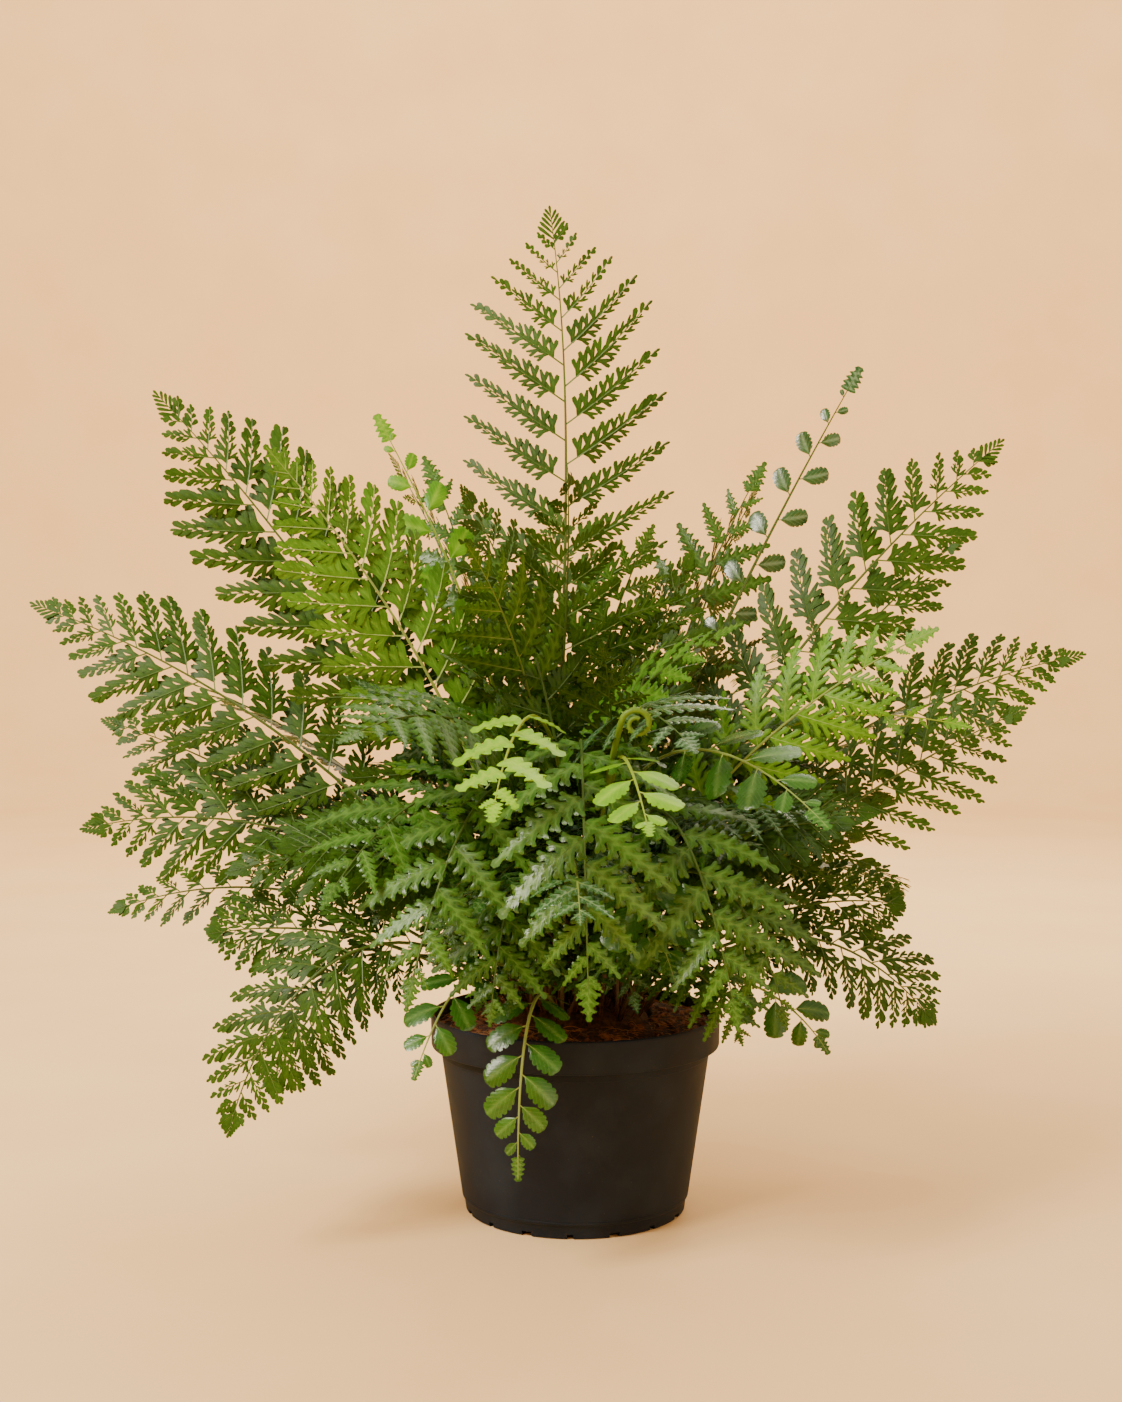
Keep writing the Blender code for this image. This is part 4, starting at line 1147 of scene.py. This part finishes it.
# %% [markdown]
# Moulded polypropylene is a charcoal black with a dull, slightly waxy surface. It is set a little
# blue, because the warm lamps would otherwise turn it brown. The mould is fine-grained, and handling
# leaves faint paler rubs and specks of dust.

# %% The pot's plastic
plastic = Finish("moulded_polypropylene_black", 0.5, 1.49)
rubs = plastic.cloud(35.0, 5.0)
specks = plastic.add("TexVoronoi", {"Vector": plastic.place, "Scale": 1 / 0.0042}).outputs["Distance"]
faded = plastic.spread(rubs, 0.45, 0.75)
dust = plastic.maths("MULTIPLY", plastic.spread(specks, 0.05, 0.09, 1.0, 0.0), faded)
dust = plastic.maths("MULTIPLY", dust, 0.35)
black = plastic.mix(dust, plastic.mix(faded, "161c26", "222a34"), "6d6862")
dull = plastic.spread(rubs, 0.3, 0.7, 0.55, 0.72)
skin = {"Base Color": black, "Roughness": dull, "Specular IOR Level": 0.14}
pot.data.materials.append(plastic.close(skin, plastic.cloud(0.7, 3.0), 0.25, 0.0002))
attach(pot, "root")
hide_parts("pot")

# %% [markdown]
# ## The root ball
# Potting mix is bark, peat and coir. Seen from above it is a lumpy mound with chips of bark and
# loose fibres on it. The mound is pulled up like the pot, with close rings on top, and its corners
# are then raised and lowered by a noise that has lumps of several sizes.

# %% The mound
def mound_level(radius):
    """The height of the soil's top at a distance from the middle, without its lumps."""
    return float(np.interp(radius, (44, 56, 67, 76, 82.4), (114.0, 113.5, 111.5, 109.0, 107.0)))


def lumps(x, y):
    """The soil's relief at a place, in millimetres."""
    coarse = math.sin(x / 6.1 + 1.3) * math.cos(y / 7.3) + 0.6 * math.sin(x / 3.7 - y / 4.9)
    fine = noise.noise(Vector((x / 3.0, y / 3.0, 0.5))) + 0.6 * noise.noise(Vector((x / 1.4, y / 1.4, 2.5)))
    return 0.8 * coarse + 0.9 * fine


SOIL_EDGE = 82.0
rings = [(62.5, 2.0), (77.0, 96.5), (82.3, 100.5), (82.3, 106.6)]
for n in range(28):
    radius = SOIL_EDGE - n * 1.35
    rings.append((radius, mound_level(radius)))
rings += [(45.3, 113.0), (44.6, 103.9), (4.0, 103.8)]
soil = pull_up("soil_mound", 144, rings)
for vertex in soil.data.vertices:
    x, y, z = vertex.co / MM
    if z > 105 and 45.2 < math.hypot(x, y) < 82.1:
        vertex.co.z += lumps(x, y) * MM
smooth(soil, 60)
print("mound has", len(soil.data.polygons), "faces")

# %% [markdown]
# A bark chip is a broken flake with flat sides. Three askew cuts make such a flake of one block, and
# its copies are scattered with a seeded draw, each turned, stretched and half sunk in the mound.
# Coir fibres are copies of the thin twig, bent over the lumps.

# %% The bark chip
chip_piece = begin_shape("chip", bpy.ops.mesh.primitive_cube_add, size=2)
CUTS = (  # a place on each plane that cuts a flake off, and the way the plane faces
    ((0.7, 0.5, 0), (1, 0.7, 0.3)),
    ((-0.6, 0.5, 0.2), (-1, 0.6, 0.5)),
    ((0, -0.7, 0.3), (0.2, -1, 0.6)),
)
for spot, way in CUTS:
    bpy.ops.mesh.select_all(action="SELECT")
    bpy.ops.mesh.bisect(plane_co=spot, plane_no=way, clear_outer=True, use_fill=True)
chip = Blank(chip_piece)

# %% Scatter chips and fibres
CHIPS, FIBRES = 430, 420


class Pile(Copies):
    """Loose copies of blanks, made into one piece."""

    def make(self, name, material, angle=40):
        places = np.concatenate(self.places)
        piece = new_piece(name, places, self.faces, {"tone": self.tone}, [material])
        only(piece)
        bpy.ops.object.mode_set(mode="EDIT")
        bpy.ops.mesh.select_all(action="SELECT")
        bpy.ops.mesh.normals_make_consistent(inside=False)
        bpy.ops.object.mode_set(mode="OBJECT")
        smooth(piece, angle)
        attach(piece, "root")
        return piece


def soil_spot(draw):
    """A random place on the visible ring of soil, with its height."""
    radius = math.sqrt(draw.uniform(47.0**2, 80.0**2))
    turn = draw.uniform(0, 2 * math.pi)
    x, y = radius * math.cos(turn), radius * math.sin(turn)
    return x, y, mound_level(radius) + lumps(x, y)


chips, fibres = Pile(), Pile()
draw = random.Random(11)
for n in range(CHIPS):
    x, y, z = soil_spot(draw)
    sizes = np.array([draw.uniform(1.2, 4.2), draw.uniform(0.8, 2.2), draw.uniform(0.4, 1.1)])
    sizes *= min(1.0, (SOIL_EDGE - math.hypot(x, y)) / 4.5)
    turn = Matrix.Rotation(draw.uniform(0, 6.3), 3, "Z")
    turn = turn @ Matrix.Rotation(draw.uniform(-0.7, 0.7), 3, "X")
    places = (chip.points * sizes) @ np.array(turn).T + np.array([x, y, z + 0.2])
    chips.put(chip, places, draw.random())
for n in range(FIBRES):
    x, y, z = soil_spot(draw)
    long, turn, bow = draw.uniform(5, 15), draw.uniform(0, 6.3), draw.uniform(-0.5, 0.5)
    rise, radius = draw.uniform(0.5, 3.0), draw.uniform(0.10, 0.24)
    a, b, c = twig.points.T
    along = (a - 0.5) * long
    across = bow * long * (a - 0.5) ** 2 * 2 + b * radius
    px = x + along * math.cos(turn) - across * math.sin(turn)
    py = y + along * math.sin(turn) + across * math.cos(turn)
    away = np.maximum(1, np.hypot(px, py) / 81.5)
    pz = z + 0.2 + rise * np.sin(math.pi * a) * 0.6 + c * radius
    fibres.put(twig, np.stack([px / away, py / away, pz], axis=1), draw.random())

# %% [markdown]
# Wet bark is dark red-brown, broken edges are lighter, and coir is a dull orange. All of them are
# rough and reflect little.

# %% Materials of the root ball
def earthy(name, dark, light, grain, roughness):
    """Crumbly plant matter: two browns mixed by size and by piece, with a rough surface."""
    finish = Finish(name, roughness, 1.5)
    crumbs = finish.cloud(grain, 6.0)
    both = finish.maths("ADD", finish.carried("tone"), finish.spread(crumbs, 0.35, 0.68))
    brown = finish.mix(finish.maths("MULTIPLY", both, 0.6, clamp=True), dark, light)
    return finish.close({"Base Color": brown}, crumbs, 0.8, 0.0008)


peat = earthy("potting_mix_peat", "1c110b", "5d371f", 2.2, 0.95)
bark = earthy("bark_chips", "2a170d", "8a552f", 3.0, 0.88)
coir = earthy("coir_fibre", "5a3417", "b98247", 4.0, 0.85)
soil.data.materials.append(peat)
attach(soil, "root")
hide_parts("soil")
for pile, name, finish in ((chips, "bark_chips", bark), (fibres, "coir_fibres", coir)):
    piece = pile.make(name, finish)
    print(name, len(piece.data.polygons), "faces")

# %% [markdown]
# ## The crown
# Under the fronds sits a clump of short rhizomes, brown and knobbly, wrapped in papery scales and
# the stubs of old stems. It is a flattened ball with its lower half cut away, roughened by noise.
# Each living stem leaves it between seven narrow scales.

# %% The clump
crown = begin_shape(
    "rhizome_clump", bpy.ops.mesh.primitive_uv_sphere_add, segments=64, ring_count=32, radius=1
)
bpy.ops.mesh.select_all(action="SELECT")
bpy.ops.transform.resize(value=(44.6 * MM, 44.6 * MM, 21.0 * MM), center_override=(0, 0, 0))
bpy.ops.transform.translate(value=(0, 0, 106.8 * MM))
bpy.ops.mesh.bisect(plane_co=(0, 0, 104.2 * MM), plane_no=(0, 0, -1), clear_outer=True, use_fill=True)
bpy.ops.object.mode_set(mode="OBJECT")
for vertex in crown.data.vertices:
    if vertex.co.z > 0.1045:
        spot = vertex.co / MM
        knob = 1.4 * noise.noise(spot / 8.0) + 0.9 * noise.noise(spot / 3.0) - 0.6
        vertex.co += Vector((0.3 * vertex.co.x, 0.3 * vertex.co.y, 0.03)).normalized() * knob * MM
smooth(crown, 60)

# %% Feet, stubs and scales
growth = Pile()
draw = random.Random(5)


def thorn(base, way, long, radius):
    """A tapered rod from the base along the way, as places for a copy of the twig."""
    way = Vector(way).normalized()
    side = way.orthogonal().normalized()
    up = way.cross(side)
    base = Vector(base)
    return np.array([base + way * p * long + side * q * radius + up * r * radius for p, q, r in twig.points])


for frond in fronds:
    way = frond.line[2] - frond.line[0]
    way = way / np.linalg.norm(way)
    base = frond.foot + way * 4
    for n in range(7):
        angle = n * GOLDEN
        tilt = np.array([math.cos(angle), math.sin(angle), 0.3]) * 0.30
        start = base + np.array([math.cos(angle), math.sin(angle), 0]) * 1.0
        growth.put(twig, thorn(start, way + tilt, draw.uniform(5, 11), 0.7), draw.random())
for foot in FEET:
    for n in range(4):
        start = foot + np.array([draw.uniform(-4, 4), draw.uniform(-4, 4), 5.0])
        way = (start[0] / 60 + draw.uniform(-0.4, 0.4), start[1] / 60 + draw.uniform(-0.4, 0.4), 1)
        growth.put(twig, thorn(start, way, draw.uniform(5, 13), draw.uniform(0.5, 1.2)), draw.random())
rhizome = earthy("fern_rhizome", "23150c", "6b4526", 2.6, 0.9)
scales = growth.make("scales_and_stubs", rhizome)
crown.data.materials.append(rhizome)
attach(crown, "root")
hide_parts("crown")
print("scales and stubs have", len(scales.data.polygons), "faces")

# %% [markdown]
# ## Rolled young fronds
# A young fern frond rises as a crozier: a stalk whose end is still rolled up, with the leaflets
# folded inside the coil. A curve with a round bevel draws the stalk and the coil, thinner towards
# the middle of the roll, and small leaflet buds are set along its outer side.

# %% The croziers
FIDDLEHEADS = [
    ("fiddlehead_front", (22, -150, 292), 8.0, 24),
    ("fiddlehead_side", (-52, 60, 330), 7.0, 8),
]
COIL_STEPS, COIL_TURNS = 44, 1.3
crozier_skin = lamina("young_crozier_skin", "35600c", "64901c", "8cac44", 0.45, 0.2)


def crozier(row):
    """One rolled frond: places and radii along its middle, and a bud for each step of the coil."""
    name, top, coil, arch = row
    stalk = Frond((name, top, arch, 1.0, 10, 1, "round", 0.5), 0)
    stalk.sway = 0.0
    stalk.bend(0)
    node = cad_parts[name]
    low = min((v.co / MM for v in node.data.vertices), key=lambda p: p.z)
    foot = min(FEET, key=lambda p: (Vector(p) - low).length)
    stalk.lay(foot)
    places = list(stalk.line[:-2:2]) + [stalk.line[-1]]
    ahead = stalk.tangent[-1] * (1, 0.2, 1) + (0, 0, 0.5)  # the coil stands up, its face to the front
    ahead /= np.linalg.norm(ahead)
    across = np.cross(ahead, (0.0, -1.0, 0.2))
    across /= np.linalg.norm(across)
    middle = stalk.line[-1] + across * coil
    radii = [1.3 + 0.4 * n / len(places) for n in range(len(places))]
    buds = []
    for n in range(1, COIL_STEPS + 1):
        share = n / COIL_STEPS
        angle = share * COIL_TURNS * 2 * math.pi
        reach = coil * (1 - 0.66 * share)
        out = ahead * math.sin(angle) - across * math.cos(angle)
        buds.append((middle + out * reach, out, 1.7 - 0.6 * share))
        places.append(buds[-1][0])
        radii.append(buds[-1][2])
    return places, radii, buds


for row in FIDDLEHEADS:
    places, radii, buds = crozier(row)
    curve = bpy.data.curves.new(row[0], "CURVE")
    curve.dimensions = "3D"
    curve.bevel_depth = MM
    curve.bevel_resolution = 3
    curve.use_fill_caps = True
    line = curve.splines.new("POLY")
    line.points.add(len(places) - 1)
    for point, place_at, radius in zip(line.points, places, radii):
        point.co = (*(place_at * MM), 1.0)
        point.radius = radius
    roll = only(stand(row[0] + "_roll", curve))
    bpy.ops.object.convert(target="MESH")
    bpy.ops.object.shade_smooth()
    pile = Pile()
    draw = random.Random(row[0])
    for n, (spot, out, radius) in enumerate(buds):
        if n % 2 == 0 and n < 36:
            lean = Vector(out) + Vector((0, -0.9, 0)) * (1 if n % 4 == 0 else -1)
            base = Vector(spot) + Vector(out) * radius * 0.5
            pile.put(twig, thorn(base, lean, radius * 1.25, radius * 0.5), draw.random())
    piece = pile.make(row[0] + "_buds", crozier_skin, 60)
    roll.data.materials.clear()
    roll.data.materials.append(crozier_skin)
    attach(roll, "root")
    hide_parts(row[0])
    print(row[0], len(roll.data.polygons), "faces")

# %% [markdown]
# ## Floor, light and camera
# The plant stands on a plain, pale, warm floor. Light is a large soft lamp high on the left, as a
# window would be, a weaker one from the right, a lamp behind that picks out the edges and one that
# brightens the wall. The camera stands where the photograph was taken from, a little above the rim.

# %% Floor and backdrop
FLOOR_RADIUS, COVE_RADIUS = 2.6, 0.9
SWEEP = []  # radius and height of each ring: flat floor, round cove, upright wall
for degrees in range(0, 91, 9):
    a = math.radians(degrees)
    SWEEP.append((FLOOR_RADIUS + COVE_RADIUS * math.sin(a), COVE_RADIUS - COVE_RADIUS * math.cos(a)))
SWEEP.append((3.5, 2.6))
floor = begin_shape(
    "floor",
    bpy.ops.mesh.primitive_circle_add,
    vertices=96,
    radius=FLOOR_RADIUS,
    fill_type="NGON",
    location=(0, 0, -0.0003),
)
pick(floor, "EDGE", lambda p: True)
for (before, low), (radius, high) in zip(SWEEP, SWEEP[1:]):
    bpy.ops.mesh.extrude_edges_move(TRANSFORM_OT_translate={"value": (0, 0, high - low)})
    bpy.ops.transform.resize(value=(radius / before, radius / before, 1), center_override=(0, 0, high))
bpy.ops.object.mode_set(mode="OBJECT")
smooth(floor, 30)
plaster = Finish("pale_plaster_floor", 0.8, 1.5)
wash = plaster.mix(plaster.cloud(180.0, 6.0), "f2c98a", "fadca6")
plaster.feed(plaster.shader, {"Base Color": wash})
floor.data.materials.append(plaster.material)
world = bpy.data.worlds.new("room")
bpy.context.scene.world = world
world.use_nodes = True
sky = world.node_tree.nodes["Background"].inputs
sky["Color"].default_value = colour("f6e0bc")
sky["Strength"].default_value = 0.98


# %% Lamps
def lamp(name, place_at, size, power, tint, aim=(0, 0, 0.25)):
    """A square area lamp that looks at the middle of the plant, or where it is aimed."""
    light = bpy.data.lights.new(name, "AREA")
    light.size = size
    light.energy = power
    light.color = colour(tint)[:3]
    item = stand(name, light)
    item.location = place_at
    item.rotation_euler = (Vector(aim) - Vector(place_at)).to_track_quat("-Z", "Y").to_euler()


lamp("window", (-1.1, -1.0, 1.5), 0.6, 56, "fff4e2")
lamp("fill", (1.4, -1.2, 0.7), 1.2, 6, "fff6ea")
lamp("behind", (0.6, 1.3, 1.4), 1.0, 18, "fff3e2")
lamp("backdrop", (0, 1.2, 2.4), 1.8, 84, "fff0d4", (0, 3.5, 0.8))

# %% Camera
CAMERA_DIP = 0.0336  # radians under the level
lens = bpy.data.cameras.new("camera")
lens.lens = 47
lens.sensor_width = 36
camera = stand("camera", lens)
camera.location = (-0.0084, -1.0724, 0.3337)
camera.rotation_euler = (math.pi / 2 - CAMERA_DIP, 0, 0)
bpy.context.scene.camera = camera
